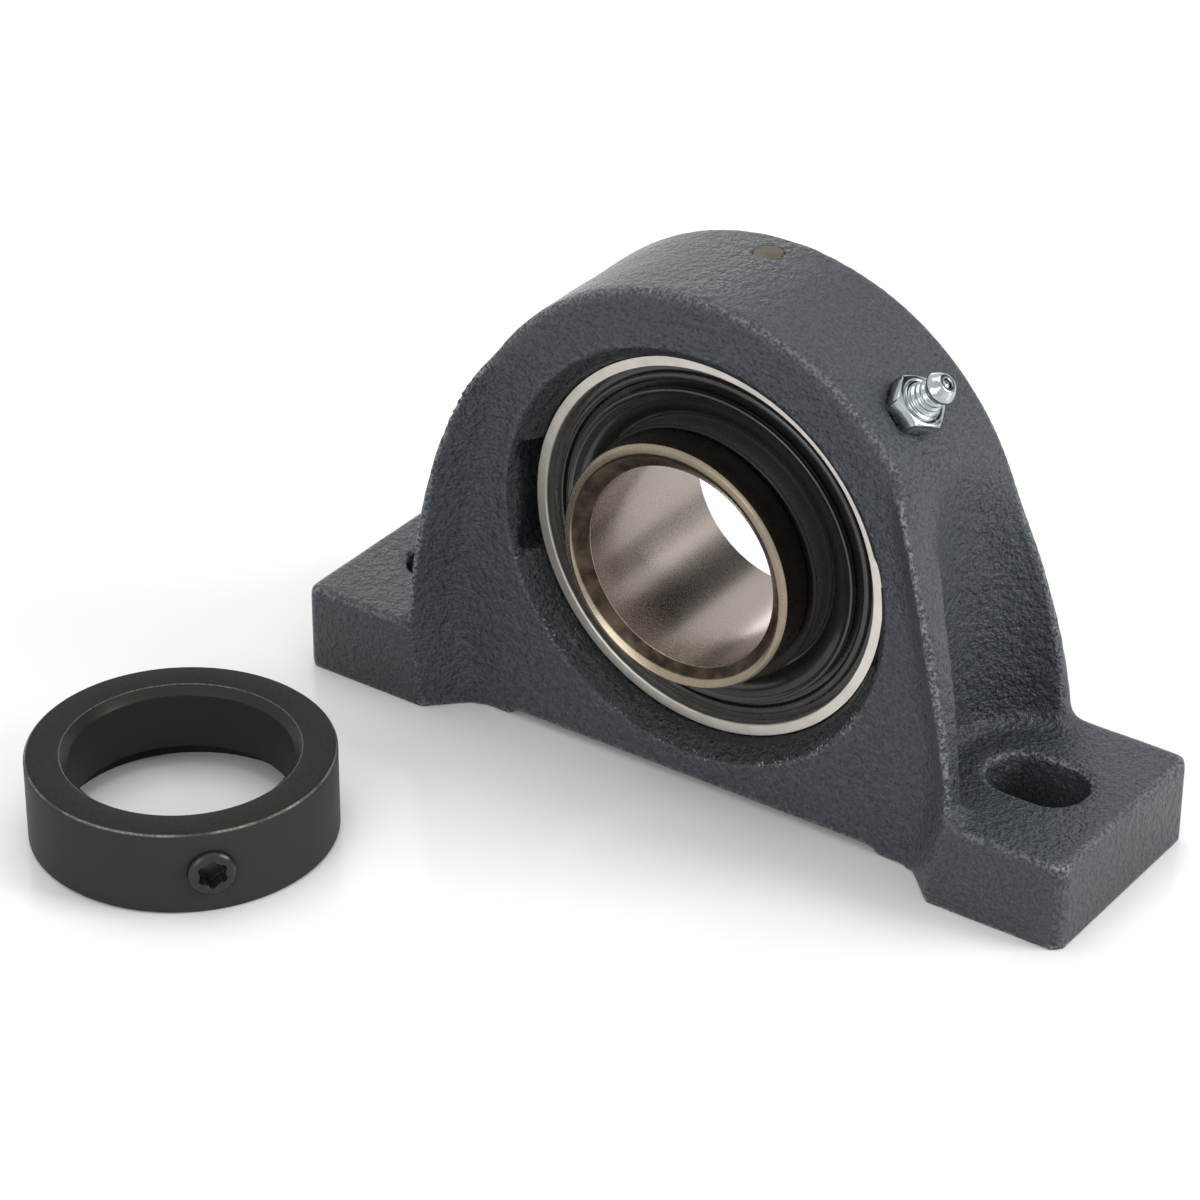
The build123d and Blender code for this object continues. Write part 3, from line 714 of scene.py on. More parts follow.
def merged_copy(node: str) -> bmesh.types.BMesh:
    """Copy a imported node's triangles and join them into one closed skin.

    Args:
        node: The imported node.
    Returns:
        The skin.
    """
    mesh = bmesh.new()
    mesh.from_mesh(frame["nodes"][node].data)
    bmesh.ops.remove_doubles(mesh, verts=mesh.verts[:], dist=0.002 * MM)
    return mesh


def dress(piece: bpy.types.Object, material: bpy.types.Material) -> None:
    """Give a piece one material."""
    piece.data.materials.clear()
    piece.data.materials.append(material)


def stand_for(piece: bpy.types.Object, node: str, body: str) -> None:
    """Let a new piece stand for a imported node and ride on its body.

    Args:
        piece: The new piece.
        node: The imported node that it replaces.
        body: The body that it moves with.
    """
    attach(piece, body)
    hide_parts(node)


def rounded_node(node: str, width: float) -> bpy.types.Object:
    """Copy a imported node, join its flat faces and round its sharp edges.

    Args:
        node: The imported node.
        width: Width of the rounding in metres.
    Returns:
        The new piece.
    """
    mesh = merged_copy(node)
    bmesh.ops.dissolve_limit(
        mesh, angle_limit=math.radians(1), verts=mesh.verts[:], edges=mesh.edges[:], delimit=set()
    )
    piece = add_piece("dressed_" + node, mesh)
    round_edges(piece, width)
    return piece


def round_edges(piece: bpy.types.Object, width: float) -> None:
    """Round the sharp edges of a piece.

    Args:
        piece: The piece.
        width: Width of the rounding in metres.
    """
    bevel = piece.modifiers.new("edge", "BEVEL")
    bevel.width = width
    bevel.segments = 2
    bevel.limit_method = "ANGLE"
    bevel.angle_limit = math.radians(32)
    bevel.use_clamp_overlap = True
    bevel.harden_normals = True
    apply_modifiers(piece)


@dataclass(frozen=True)
class Corner:
    """A corner of a turned outline: radius, height towards the front, and rounding."""

    radius: float
    along: float
    rounding: float = 0.0


def arc(radius: float, along: float, size: float, start: float, end: float, steps: int) -> list[Corner]:
    """Corners on a circle of the outline.

    Args:
        radius: Distance of the circle's centre from the shaft axis.
        along: Its place along the shaft.
        size: Radius of the circle.
        start: First angle in degrees, measured from the outward direction.
        end: Last angle in degrees.
        steps: Number of stretches.
    Returns:
        The corners in order.
    """
    angles = [math.radians(start + (end - start) * k / steps) for k in range(steps + 1)]
    return [Corner(radius + size * math.cos(a), along + size * math.sin(a)) for a in angles]


def spun(corners: Sequence[Corner], segments: int = 240) -> bmesh.types.BMesh:
    """Turn a closed outline about Z, in its own space.

    Args:
        corners: The outline in order.
        segments: Facets round the axis.
    Returns:
        The turned skin.
    """
    mesh = bmesh.new()
    points = [mesh.verts.new((c.radius, 0.0, c.along)) for c in corners]
    for first, second in zip(points, points[1:] + points[:1]):
        mesh.edges.new((first, second))
    for amount in sorted({c.rounding for c in corners if c.rounding}):
        soft = [v for v, c in zip(points, corners) if c.rounding == amount]
        bmesh.ops.bevel(
            mesh, geom=soft, offset=amount, offset_type="OFFSET", segments=4,
            profile=0.5, affect="VERTICES", material=-1,
        )
    bmesh.ops.spin(
        mesh, geom=mesh.verts[:] + mesh.edges[:], cent=(0, 0, 0), axis=(0, 0, 1),
        angle=2 * math.pi, steps=segments, use_merge=True,
    )
    bmesh.ops.remove_doubles(mesh, verts=mesh.verts[:], dist=0.001 * MM)
    return mesh


def set_down(mesh: bmesh.types.BMesh, place: Matrix) -> bmesh.types.BMesh:
    """Move a skin to its place, with its faces outwards.

    Args:
        mesh: The skin.
        place: Its placement in the frame.
    Returns:
        The same skin.
    """
    bmesh.ops.transform(mesh, matrix=place, verts=mesh.verts[:])
    bmesh.ops.recalc_face_normals(mesh, faces=mesh.faces[:])
    return mesh


def lathe(corners: Sequence[Corner], place: Matrix, segments: int = 240) -> bmesh.types.BMesh:
    """Turn a closed outline and set it down at its place in the frame."""
    return set_down(spun(corners, segments), place)


def cut(piece: bpy.types.Object, cutter: bmesh.types.BMesh, leave: Cut = Cut.OUTSIDE) -> None:
    """Cut a piece with a closed skin.

    Args:
        piece: The piece that loses material.
        cutter: The skin to cut with, freed here.
        leave: The part that stays.
    """
    tool = add_piece("cutter", cutter)
    modifier = piece.modifiers.new("cut", "BOOLEAN")
    modifier.operation = leave.value
    modifier.solver = "EXACT"
    modifier.object = tool
    apply_modifiers(piece)
    bpy.data.objects.remove(tool)
    smooth_shading(piece)


def on_shaft() -> Matrix:
    """Local Z points to the front along the shaft and local Y up."""
    return Matrix.Translation(shaft_centre()) @ Matrix.Rotation(math.radians(90), 4, "X")


def dress_nodes(names: Sequence[str], material: bpy.types.Material) -> None:
    """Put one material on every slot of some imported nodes.

    Args:
        names: Names of the nodes.
        material: Their finish.
    """
    for name in names:
        for slot in frame["nodes"][name].material_slots:
            slot.material = material


# The housing

@dataclass
class Housing:
    """One casting with soft corners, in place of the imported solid."""

    voxel: float = 0.72 * MM
    passes: int = 2
    cast_passes: int = 1
    fade_passes: int = 24
    unevenness: float = 0.07 * MM
    lump: float = 6.0 * MM
    seat_reach: float = 37.2 * MM
    seat_depth: float = 9.4 * MM
    gap: float = 0.25 * MM
    machined_reach: float = 40.5 * MM
    base_edge: float = 2.0 * MM
    fade_near: float = 39.0 * MM
    fade_far: float = 50.0 * MM
    fade_half_width: float = 12.5 * MM
    fade_low: float = 54.0 * MM
    fade_high: float = 76.0 * MM
    mouth_radius: float = 38.0 * MM
    mouth_margin: float = 2.0 * MM
    step_radius: float = 35.7 * MM
    half_width: float = 14.2 * MM
    chamfer_depth: float = 2.2 * MM
    seat_edge: float = 34.87 * MM
    seat_margin: float = 1.0 * MM
    seat_plane: float = 9.7 * MM
    edge_reach: float = 0.36 * MM
    face_share: float = 1.4
    pin_radius: float = 2.58 * MM
    pin_dimple: float = 0.7 * MM

    def build(self) -> list[bpy.types.Object]:
        """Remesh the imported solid, soften it, roughen it like a casting and paint it.

        Returns:
            The housing piece.
        """
        mesh = merged_copy("housing")
        mesh.from_mesh(frame["nodes"]["locating_pin"].data)
        piece = add_piece("cast_housing", mesh)
        remesh = piece.modifiers.new("skin", "REMESH")
        remesh.mode = "VOXEL"
        remesh.voxel_size = self.voxel
        apply_modifiers(piece)
        skin = bmesh.new()
        skin.from_mesh(piece.data)
        self.soften(skin)
        self.roughen(skin)
        self.clear_seat(skin)
        self.sharpen_mouth(skin)
        self.sink_pin(skin)
        self.keep_inside(skin)
        skin.to_mesh(piece.data)
        skin.free()
        piece.data.shade_smooth()
        stand_for(piece, "housing", "housing")
        dress(piece, CastPaint(LocatingPin().axis(), shaft_centre()).make())
        return [piece]

    def is_cast(self, place: Vector) -> bool:
        """Tell a cast place from the machined mouth and the edge of the base.

        Args:
            place: A point of the skin.
        Returns:
            True where the surface is as cast.
        """
        centre = shaft_centre()
        around = math.hypot(place.x - centre.x, place.z - centre.z)
        return around > self.machined_reach and place.z > self.base_edge

    def is_fade(self, place: Vector) -> bool:
        """Tell whether a point lies where a wrench scoop runs out into the dome.

        Args:
            place: A point of the skin.
        Returns:
            True inside that region.
        """
        beside = self.fade_near < abs(place.x) < self.fade_far
        high = self.fade_low < place.z < self.fade_high
        return beside and high and abs(place.y) < self.fade_half_width

    def smooth(self, skin: bmesh.types.BMesh, verts: list[bmesh.types.BMVert], times: int) -> None:
        """Smooth some vertices a number of times.

        Args:
            skin: The mesh.
            verts: Vertices to move.
            times: Number of passes.
        """
        for _ in range(times):
            bmesh.ops.smooth_vert(
                skin, verts=verts, factor=0.5, use_axis_x=True, use_axis_y=True, use_axis_z=True
            )

    def soften(self, skin: bmesh.types.BMesh) -> None:
        """Round every edge a little, and fade the tops of the wrench scoops into the dome.

        Args:
            skin: The mesh.
        """
        self.smooth(skin, skin.verts[:], self.passes)
        self.smooth(skin, [v for v in skin.verts if self.is_cast(v.co)], self.cast_passes)
        self.smooth(skin, [v for v in skin.verts if self.is_fade(v.co)], self.fade_passes)

    def roughen(self, skin: bmesh.types.BMesh) -> None:
        """Move the cast skin in and out by a few hundredths of a millimetre.

        Args:
            skin: The mesh.
        """
        for vert in skin.verts:
            if self.is_cast(vert.co):
                vert.co += vert.normal * noise.noise(vert.co / self.lump) * self.unevenness

    def clear_seat(self, skin: bmesh.types.BMesh) -> None:
        """Keep the seat a hair clear of the insert's outer ring.

        Args:
            skin: The mesh.
        """
        centre = shaft_centre()
        for vert in skin.verts:
            away = vert.co - centre
            depth = abs(away.y)
            away.y = 0.0
            if away.length < self.seat_reach and depth < self.seat_depth:
                vert.co += away.normalized() * self.gap

    def sharpen_mouth(self, skin: bmesh.types.BMesh) -> None:
        """Draw nearby vertices onto the turned faces of the mouth, and onto its edges.

        Args:
            skin: The mesh.
        """
        centre = shaft_centre()
        corners = [
            Vector((self.mouth_radius + self.mouth_margin, self.half_width)),
            Vector((self.mouth_radius, self.half_width)),
            Vector((self.step_radius, self.half_width - self.chamfer_depth)),
            Vector((self.seat_edge, self.seat_plane)),
        ]
        for vert in skin.verts:
            away = vert.co - centre
            point = Vector((math.hypot(away.x, away.z), abs(away.y)))
            near = self.seat_edge - self.seat_margin < point.x < corners[0].x
            if not near or point.y < self.seat_plane:
                continue
            found = [self.nearest(point, a, b) for a, b in zip(corners, corners[1:])]
            best = min(found, key=lambda place: (place - point).length)
            if (best - point).length > self.face_share * self.edge_reach:
                continue
            edge = min(corners[1:], key=lambda corner: (corner - best).length)
            if (edge - best).length < self.edge_reach:
                best = edge
            scale = best.x / point.x
            along = math.copysign(best.y, away.y)
            vert.co = centre + Vector((away.x * scale, along, away.z * scale))

    def nearest(self, point: Vector, start: Vector, end: Vector) -> Vector:
        """Find the place on a straight stretch of the outline that is nearest to a point.

        Args:
            point: Radius and place along the shaft.
            start: One end of the stretch.
            end: Its other end.
        Returns:
            The nearest place.
        """
        stretch = end - start
        share = (point - start).dot(stretch) / stretch.length_squared
        return start + stretch * max(0.0, min(1.0, share))

    def sink_pin(self, skin: bmesh.types.BMesh) -> None:
        """Open the skin round the locating pin: a crisp rim, and a floor below the pin's top.

        Args:
            skin: The mesh.
        """
        axis = LocatingPin().axis()
        for vert in skin.verts:
            away = Vector((vert.co.x - axis.x, vert.co.y - axis.y, 0.0))
            radius = away.length
            if vert.co.z < axis.z or radius > self.pin_radius + self.voxel / 2:
                continue
            if radius > self.pin_radius - self.voxel / 2:
                vert.co += away * (self.pin_radius / radius - 1)
            else:
                vert.co.z -= self.pin_dimple

    def keep_inside(self, skin: bmesh.types.BMesh) -> None:
        """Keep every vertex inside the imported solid's box.

        Args:
            skin: The mesh.
        """
        low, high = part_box("housing")
        for vert in skin.verts:
            vert.co = Vector(max(a, min(b, c)) for a, b, c in zip(low, high, vert.co))


@dataclass
class LocatingPin:
    """Brass plug, filed flush with the dome."""

    radius: float = 2.5 * MM
    rounding: float = 0.15 * MM

    def axis(self) -> Vector:
        """Centre of the pin's box."""
        low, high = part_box("locating_pin")
        return (Vector(low) + Vector(high)) / 2

    def build(self) -> list[bpy.types.Object]:
        """Turn the plug.

        Returns:
            The plug.
        """
        low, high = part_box("locating_pin")
        place = Matrix.Translation((self.axis().x, self.axis().y, 0.0))
        outline = [
            Corner(0.0, low[2]), Corner(self.radius, low[2]),
            Corner(self.radius, high[2], self.rounding), Corner(0.0, high[2]),
        ]
        piece = add_piece("pin_plug", lathe(outline, place, 64))
        stand_for(piece, "locating_pin", "housing")
        dress(piece, PlainMetal("pin_brass", (0.125, 0.11, 0.08), 0.48).make())
        return [piece]


# The insert

@dataclass
class BearingInsert:
    """Ball insert: rings, shields, slingers, lips, balls and cage."""

    seal_plane: float = 7.14 * MM
    shell: float = 0.6 * MM
    shell_rim: float = 32.67 * MM
    bead_out: float = 31.47 * MM
    bead_in: float = 29.87 * MM
    bead_height: float = 0.9 * MM
    bead_slope: float = 0.2 * MM
    shell_bore: float = 26.8 * MM
    slinger_rim: float = 28.8 * MM
    slinger_top: float = 9.6 * MM
    slinger_sheet: float = 0.55 * MM
    slinger_drop: float = 1.1 * MM
    slinger_hub: float = 23.48 * MM
    slinger_knee: float = 24.1 * MM
    slinger_lift: float = 0.26 * MM
    hub_depth: float = 0.6 * MM
    edge: float = 0.14 * MM
    outer_edge: float = 0.10 * MM
    bore: float = 18.256 * MM
    land: float = 23.45 * MM
    nose: float = 22.3 * MM
    nose_end: float = 19.5 * MM
    tail_end: float = 16.0 * MM
    shoulder: float = 12.2 * MM
    undercut: float = 13.1 * MM
    undercut_radius: float = 21.1 * MM
    lead_in: float = 20.856 * MM
    eccentricity: float = 0.8 * MM
    race_centre: float = 26.897 * MM
    race_radius: float = 5.7227 * MM
    tail_taper: float = 9.05 * MM
    land_end: float = 7.4 * MM
    lead_depth: float = 2.3 * MM

    def facing(self, side: Side) -> Matrix:
        """Placement with local Z towards the front or the rear."""
        return on_shaft() @ Matrix.Diagonal((1.0, 1.0, side.value, 1.0))

    def build_shell(self, side: Side) -> bpy.types.Object:
        """Turn the pressed shield with its rolled bead.

        Args:
            side: The face it closes.
        Returns:
            The shield.
        """
        low, high = self.seal_plane, self.seal_plane + self.shell
        crown = high + self.bead_height
        outline = [
            Corner(self.shell_rim, low),
            Corner(self.shell_rim, high, self.edge),
            Corner(self.bead_out, high, self.edge),
            Corner(self.bead_out - self.bead_slope, crown, 3 * self.edge),
            Corner(self.bead_in + self.bead_slope, crown, 3 * self.edge),
            Corner(self.bead_in, high, self.edge),
            Corner(self.shell_bore, high, self.edge),
            Corner(self.shell_bore, low),
        ]
        name = side.name.lower()
        piece = add_piece(name + "_shield", lathe(outline, self.facing(side)))
        stand_for(piece, name + "_seal_shell", "outer_ring")
        return piece

    def build_slinger(self, side: Side) -> bpy.types.Object:
        """Turn the dished slinger with its rolled rim.

        Args:
            side: The face it turns in front of.
        Returns:
            The slinger.
        """
        floor = self.seal_plane + self.slinger_lift
        under = floor - self.hub_depth
        rim, top, sheet = self.slinger_rim, self.slinger_top, self.slinger_sheet
        outline = [
            Corner(self.slinger_hub, under),
            Corner(self.slinger_hub, floor, self.edge),
            Corner(self.slinger_knee, floor, 2 * self.edge),
            Corner(rim - 3.2 * MM, top - 0.62 * MM, 1.2 * MM),
            Corner(rim - 0.95 * MM, top - 0.30 * MM, 2 * self.edge),
            Corner(rim - 0.55 * MM, top, self.edge),
            Corner(rim, top, 2 * self.edge),
            Corner(rim, top - self.slinger_drop, self.edge),
            Corner(rim - sheet, top - self.slinger_drop, self.edge),
            Corner(rim - sheet, top - sheet - 0.12 * MM, self.edge),
            Corner(rim - 1.5 * MM, top - sheet - 0.35 * MM, 2 * self.edge),
            Corner(self.slinger_knee, under, self.edge),
        ]
        name = side.name.lower()
        piece = add_piece(name + "_slinger", lathe(outline, self.facing(side)))
        stand_for(piece, name + "_flinger", "inner_ring")
        return piece

    def build_outer_ring(self) -> bpy.types.Object:
        """Round the edges of the outer ring.

        Returns:
            The outer ring.
        """
        ring = rounded_node("outer_ring", self.outer_edge)
        stand_for(ring, "outer_ring", "outer_ring")
        return ring

    def build_inner_ring(self) -> bpy.types.Object:
        """Turn the inner ring, then push its cam nose off centre.

        Returns:
            The inner ring.
        """
        reach = math.degrees(math.acos((self.race_centre - self.land) / self.race_radius))
        race = arc(self.race_centre, 0.0, self.race_radius, 180 + reach, 180 - reach, 18)
        outline = [
            Corner(self.bore + 1.0 * MM, -self.tail_end, 0.06 * MM),
            Corner(self.nose - 0.5 * MM, -self.tail_end, 0.08 * MM),
            Corner(self.nose, 0.5 * MM - self.tail_end, 0.08 * MM),
            Corner(self.nose, -self.tail_taper),
            Corner(self.land, -self.land_end),
            *race,
            Corner(self.land, self.shoulder - 0.4 * MM, 0.16 * MM),
            Corner(self.land - 0.4 * MM, self.shoulder, 0.16 * MM),
            Corner(self.undercut_radius, self.shoulder),
            Corner(self.undercut_radius, self.undercut),
            Corner(self.nose, self.undercut, 0.12 * MM),
            Corner(self.nose, self.nose_end - 0.5 * MM, 0.12 * MM),
            Corner(self.nose - 0.5 * MM, self.nose_end, 0.04 * MM),
            Corner(self.lead_in, self.nose_end, 0.04 * MM),
            Corner(self.bore, self.nose_end - self.lead_depth, 0.10 * MM),
            Corner(self.bore, 1.0 * MM - self.tail_end),
        ]
        skin = spun(outline, 288)
        middle = (self.shoulder + self.undercut) / 2
        inside = self.undercut_radius + 0.2 * MM
        for vert in skin.verts:
            if vert.co.z > middle and math.hypot(vert.co.x, vert.co.y) > inside:
                vert.co.y += self.eccentricity
        ring = add_piece("turned_inner_ring", set_down(skin, on_shaft()))
        stand_for(ring, "inner_ring", "inner_ring")
        return ring

    def dress_hidden(self) -> None:
        """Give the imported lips, cage and balls their finishes."""
        rubber = BlackFinish("lip_rubber", (0.010, 0.010, 0.010), (0.030, 0.030, 0.030), 0.62, 0.3)
        dress_nodes(["front_seal_lip", "rear_seal_lip"], rubber.make())
        cage = PlainMetal("cage_strip", (0.42, 0.41, 0.39), 0.38)
        dress_nodes(["cage_front_half", "cage_rear_half", "cage_rivets"], cage.make())
        polished = PlainMetal("ball_steel", (0.62, 0.62, 0.62), 0.10, depth=0.0005 * MM)
        balls = [name for name in frame["nodes"] if name.startswith("ball_")]
        dress_nodes(balls, polished.make())

    def build(self) -> list[bpy.types.Object]:
        """Build and dress every piece of the insert.

        Returns:
            The rings, and a shield and a slinger for each side.
        """
        pieces = [self.build_outer_ring(), self.build_inner_ring()]
        centre = shaft_centre()
        ground = TurnedMetal("ground_ring", (0.74, 0.70, 0.64), (0.56, 0.53, 0.48), 0.40, centre)
        for piece, finish in zip(pieces, (ground, InnerRingSteel(centre))):
            dress(piece, finish.make())
        shield = BlackFinish("shield_coat", (0.008, 0.008, 0.008), (0.036, 0.034, 0.032), 0.25, 0.6)
        slinger = BlackFinish("slinger_coat", (0.007, 0.0065, 0.006), (0.034, 0.031, 0.027), 0.22, 0.7)
        coats = (shield.make(), slinger.make())
        for side in Side:
            pair = [self.build_shell(side), self.build_slinger(side)]
            for piece, coat in zip(pair, coats):
                dress(piece, coat)
            pieces += pair
        self.dress_hidden()
        return pieces


# Small fittings

@dataclass
class GreaseNipple:
    """Zinc-plated nipple on the dome, with its check ball and spring."""

    tilt: float = 45.0
    offset: float = -2.6 * MM
    seat: float = 47.85 * MM
    flats: float = 9.0 * MM
    nut: float = 3.4 * MM
    chamfer: float = 0.3 * MM
    edge: float = 0.12 * MM
    thread: float = 4.0 * MM
    thread_chamfer: float = 0.6 * MM
    thread_end: float = -7.0 * MM
    channel: float = 1.3 * MM
    channel_top: float = 8.69 * MM
    floor: float = 0.4 * MM
    bleed: float = 0.54 * MM
    orifice: float = 0.9 * MM
    orifice_end: float = 9.25 * MM
    top: float = 9.8 * MM
    travel: float = 0.8 * MM
    facets: int = 120

    def place(self) -> Matrix:
        """Find where the nipple stands.

        Returns:
            A placement at the seat of the nut, with local Z outwards from the dome.
        """
        start = Matrix.Translation(shaft_centre() + Vector((0.0, self.offset, 0.0)))
        turn = Matrix.Rotation(math.radians(self.tilt), 4, "Y")
        return start @ turn @ Matrix.Translation((0.0, 0.0, self.seat))

    def stem(self) -> list[Corner]:
        """Outline of the thread, the ringed neck, the head and the channel.

        Returns:
            The corners in order, from the bottom of the channel round the outside.
        """
        start = self.thread_end
        hidden = [
            Corner(self.bleed, start),
            Corner(self.thread - self.thread_chamfer, start),
            Corner(self.thread, start + self.thread_chamfer),
            Corner(self.thread, self.nut - MM),
        ]
        neck = [
            (3.55, 3.0), (3.50, 3.55), (3.0, 3.62), (3.0, 4.15), (2.55, 4.4), (2.75, 4.75),
            (2.70, 5.15), (2.30, 5.4), (2.45, 5.7), (2.35, 6.05), (2.05, 6.4), (2.05, 6.8),
        ]
        head = [(2.75, 7.45), (2.80, 8.0), (2.45, 8.7), (1.80, 9.6), (1.50, 9.8)]
        outside = [Corner(r * MM, z * MM, self.edge) for r, z in neck + head]
        inside = [
            Corner(self.orifice, self.top, 0.5 * self.edge),
            Corner(self.orifice, self.orifice_end),
            Corner(self.channel, self.channel_top),
            Corner(self.channel, start + self.floor),
            Corner(self.bleed, start + self.floor),
        ]
        return hidden + outside + inside

    def build_body(self) -> bpy.types.Object:
        """Turn the nut, cut its six flats, and join it to the stem.

        Returns:
            The nipple body.
        """
        corner = self.flats / 2 / math.cos(math.radians(30))
        inside = self.thread - 0.5 * MM
        outline = [
            Corner(inside, 0.0),
            Corner(corner - self.chamfer, 0.0),
            Corner(corner, self.chamfer),
            Corner(corner, self.nut - 1.5 * self.chamfer),
            Corner(corner - 3.0 * self.chamfer, self.nut),
            Corner(inside, self.nut),
        ]
        piece = add_piece("plated_nipple", lathe(outline, self.place(), self.facets))
        prism = bmesh.new()
        bmesh.ops.create_cone(
            prism, cap_ends=True, segments=6, radius1=corner, radius2=corner, depth=4 * self.nut
        )
        turn = Matrix.Rotation(math.radians(30), 4, "Z")
        cut(piece, set_down(prism, self.place() @ turn), Cut.INSIDE)
        round_edges(piece, self.edge)
        mesh = lathe(self.stem(), self.place(), self.facets)
        mesh.from_mesh(piece.data)
        mesh.to_mesh(piece.data)
        mesh.free()
        smooth_shading(piece)
        stand_for(piece, "grease_nipple_body", "housing")
        return piece

    def build_spring(self) -> bpy.types.Object:
        """Copy the spring, and find its reach along the nipple's axis.

        Returns:
            The spring.
        """
        piece = add_piece("coil_spring", merged_copy("grease_nipple_spring"))
        stand_for(piece, "grease_nipple_spring", "housing")
        axis = (self.place().to_3x3() @ Vector((0.0, 0.0, 1.0))).normalized()
        reach = [(vert.co - self.place().translation).dot(axis) for vert in piece.data.vertices]
        anchor = self.place().translation + axis * min(reach)
        1.0 - self.travel / (max(reach) - min(reach))
        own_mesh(piece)
        return piece

    def build(self) -> list[bpy.types.Object]:
        """Build and plate the body, and dress what is inside it.

        Returns:
            The nipple body and the spring.
        """
        body = self.build_body()
        dress(body, PlainMetal("zinc_coat", (0.44, 0.475, 0.49), 0.16, depth=0.006 * MM).make())
        ball = PlainMetal("check_ball", (0.60, 0.60, 0.60), 0.12)
        dress_nodes(["grease_nipple_check_ball"], ball.make())
        spring = self.build_spring()
        dress(spring, PlainMetal("spring_wire", (0.45, 0.45, 0.45), 0.25).make())
        return [body, spring]


@dataclass
class LockingCollar:
    """Black-oxide collar, taken off the nose, with its set screw."""

    edge: float = 0.12 * MM
    screw_edge: float = 0.10 * MM
    radius: float = 26.24 * MM
    height: float = 15.5 * MM
    bore: float = 18.8 * MM
    bore_chamfer: float = 1.5 * MM
    rim: float = 0.5 * MM
    recess: float = 22.6 * MM
    recess_depth: float = 3.9 * MM
    eccentricity: float = 0.8 * MM
    hole: float = 4.05 * MM
    hole_height: float = 8.0 * MM
    socket_floor: float = 24.5 * MM
    socket_reach: float = 2.5 * MM
    socket_scale: float = 1.2
    direction: float = -40.0
    facets: int = 256
    hole_facets: int = 96

    def centre(self) -> Vector:
        """Middle of the collar on the table."""
        low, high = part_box("locking_collar")
        return Vector(((low[0] + high[0]) / 2, (low[1] + high[1]) / 2, 0.0))

    def build_ring(self) -> bpy.types.Object:
        """Turn the collar, then cut its eccentric recess and its screw hole.

        Returns:
            The collar.
        """
        profile = [
            (self.bore, 0.0),
            (self.radius - self.rim, 0.0),
            (self.radius, self.rim),
            (self.radius, self.height - self.rim),
            (self.radius - self.rim, self.height),
            (self.bore + self.bore_chamfer, self.height),
            (self.bore, self.height - self.bore_chamfer),
        ]
        outline = [Corner(radius, height, self.edge) for radius, height in profile]
        place = Matrix.Translation(self.centre())
        piece = add_piece("turned_collar", lathe(outline, place, self.facets))
        away = Matrix.Rotation(math.radians(self.direction + 90), 4, "Z")
        offset = away @ Matrix.Translation((self.eccentricity, 0.0, 0.0))
        cut(piece, self.rod(self.recess, -MM, self.recess_depth, place @ offset, self.facets))
        end = self.radius + 5 * MM
        cut(piece, self.rod(self.hole, self.bore / 2, end, self.screw_place(), self.hole_facets))
        stand_for(piece, "locking_collar", "locking_collar")
        return piece

    def screw_place(self) -> Matrix:
        """Find where the set screw runs.

        Returns:
            A placement on the collar's axis, with local Z outwards along the screw.
        """
        middle = Matrix.Translation(self.centre() + Vector((0.0, 0.0, self.hole_height)))
        turn = Matrix.Rotation(math.radians(self.direction), 4, "Z")
        return middle @ turn @ Matrix.Rotation(math.radians(90), 4, "Y")

    def rod(
        self, radius: float, low: float, high: float, place: Matrix, segments: int
    ) -> bmesh.types.BMesh:
        """Closed cylinder to cut with, between two heights on its own axis.

        Args:
            radius: Its radius.
            low: Where it starts.
            high: Where it ends.
            place: Placement of its axis, along local Z.
            segments: Facets round the axis.
        Returns:
            The skin of the cylinder.
        """
        outline = [Corner(0.0, low), Corner(radius, low), Corner(radius, high), Corner(0.0, high)]
        return lathe(outline, place, segments)

    def build_screw(self) -> bpy.types.Object:
        """Round the edges of the set screw and open its socket.

        Returns:
            The screw.
        """
        screw = rounded_node("collar_set_screw", self.screw_edge)
        self.open_socket(screw)
        stand_for(screw, "collar_set_screw", "set_screw")
        return screw

    def open_socket(self, screw: bpy.types.Object) -> None:
        """Widen the six-lobe socket of the screw.

        Args:
            screw: The screw, whose socket faces outwards.
        """
        place = self.screw_place()
        scale = Matrix.Diagonal((self.socket_scale, self.socket_scale, 1.0, 1.0))
        for vert in screw.data.vertices:
            local = place.inverted() @ vert.co
            if local.z > self.socket_floor and math.hypot(local.x, local.y) < self.socket_reach:
                vert.co = place @ (scale @ local)

    def build(self) -> list[bpy.types.Object]:
        """Build and blacken the collar and the screw.

        Returns:
            The collar and the screw.
        """
        ring = self.build_ring()
        mouth = self.bore + self.bore_chamfer
        dress(ring, CollarCoat(self.centre(), self.radius, self.height, mouth).make())
        screw = self.build_screw()
        coat = BlackFinish("screw_coat", (0.008, 0.008, 0.008), (0.036, 0.036, 0.035), 0.30, 0.35)
        dress(screw, coat.make())
        return [ring, screw]


# The studio

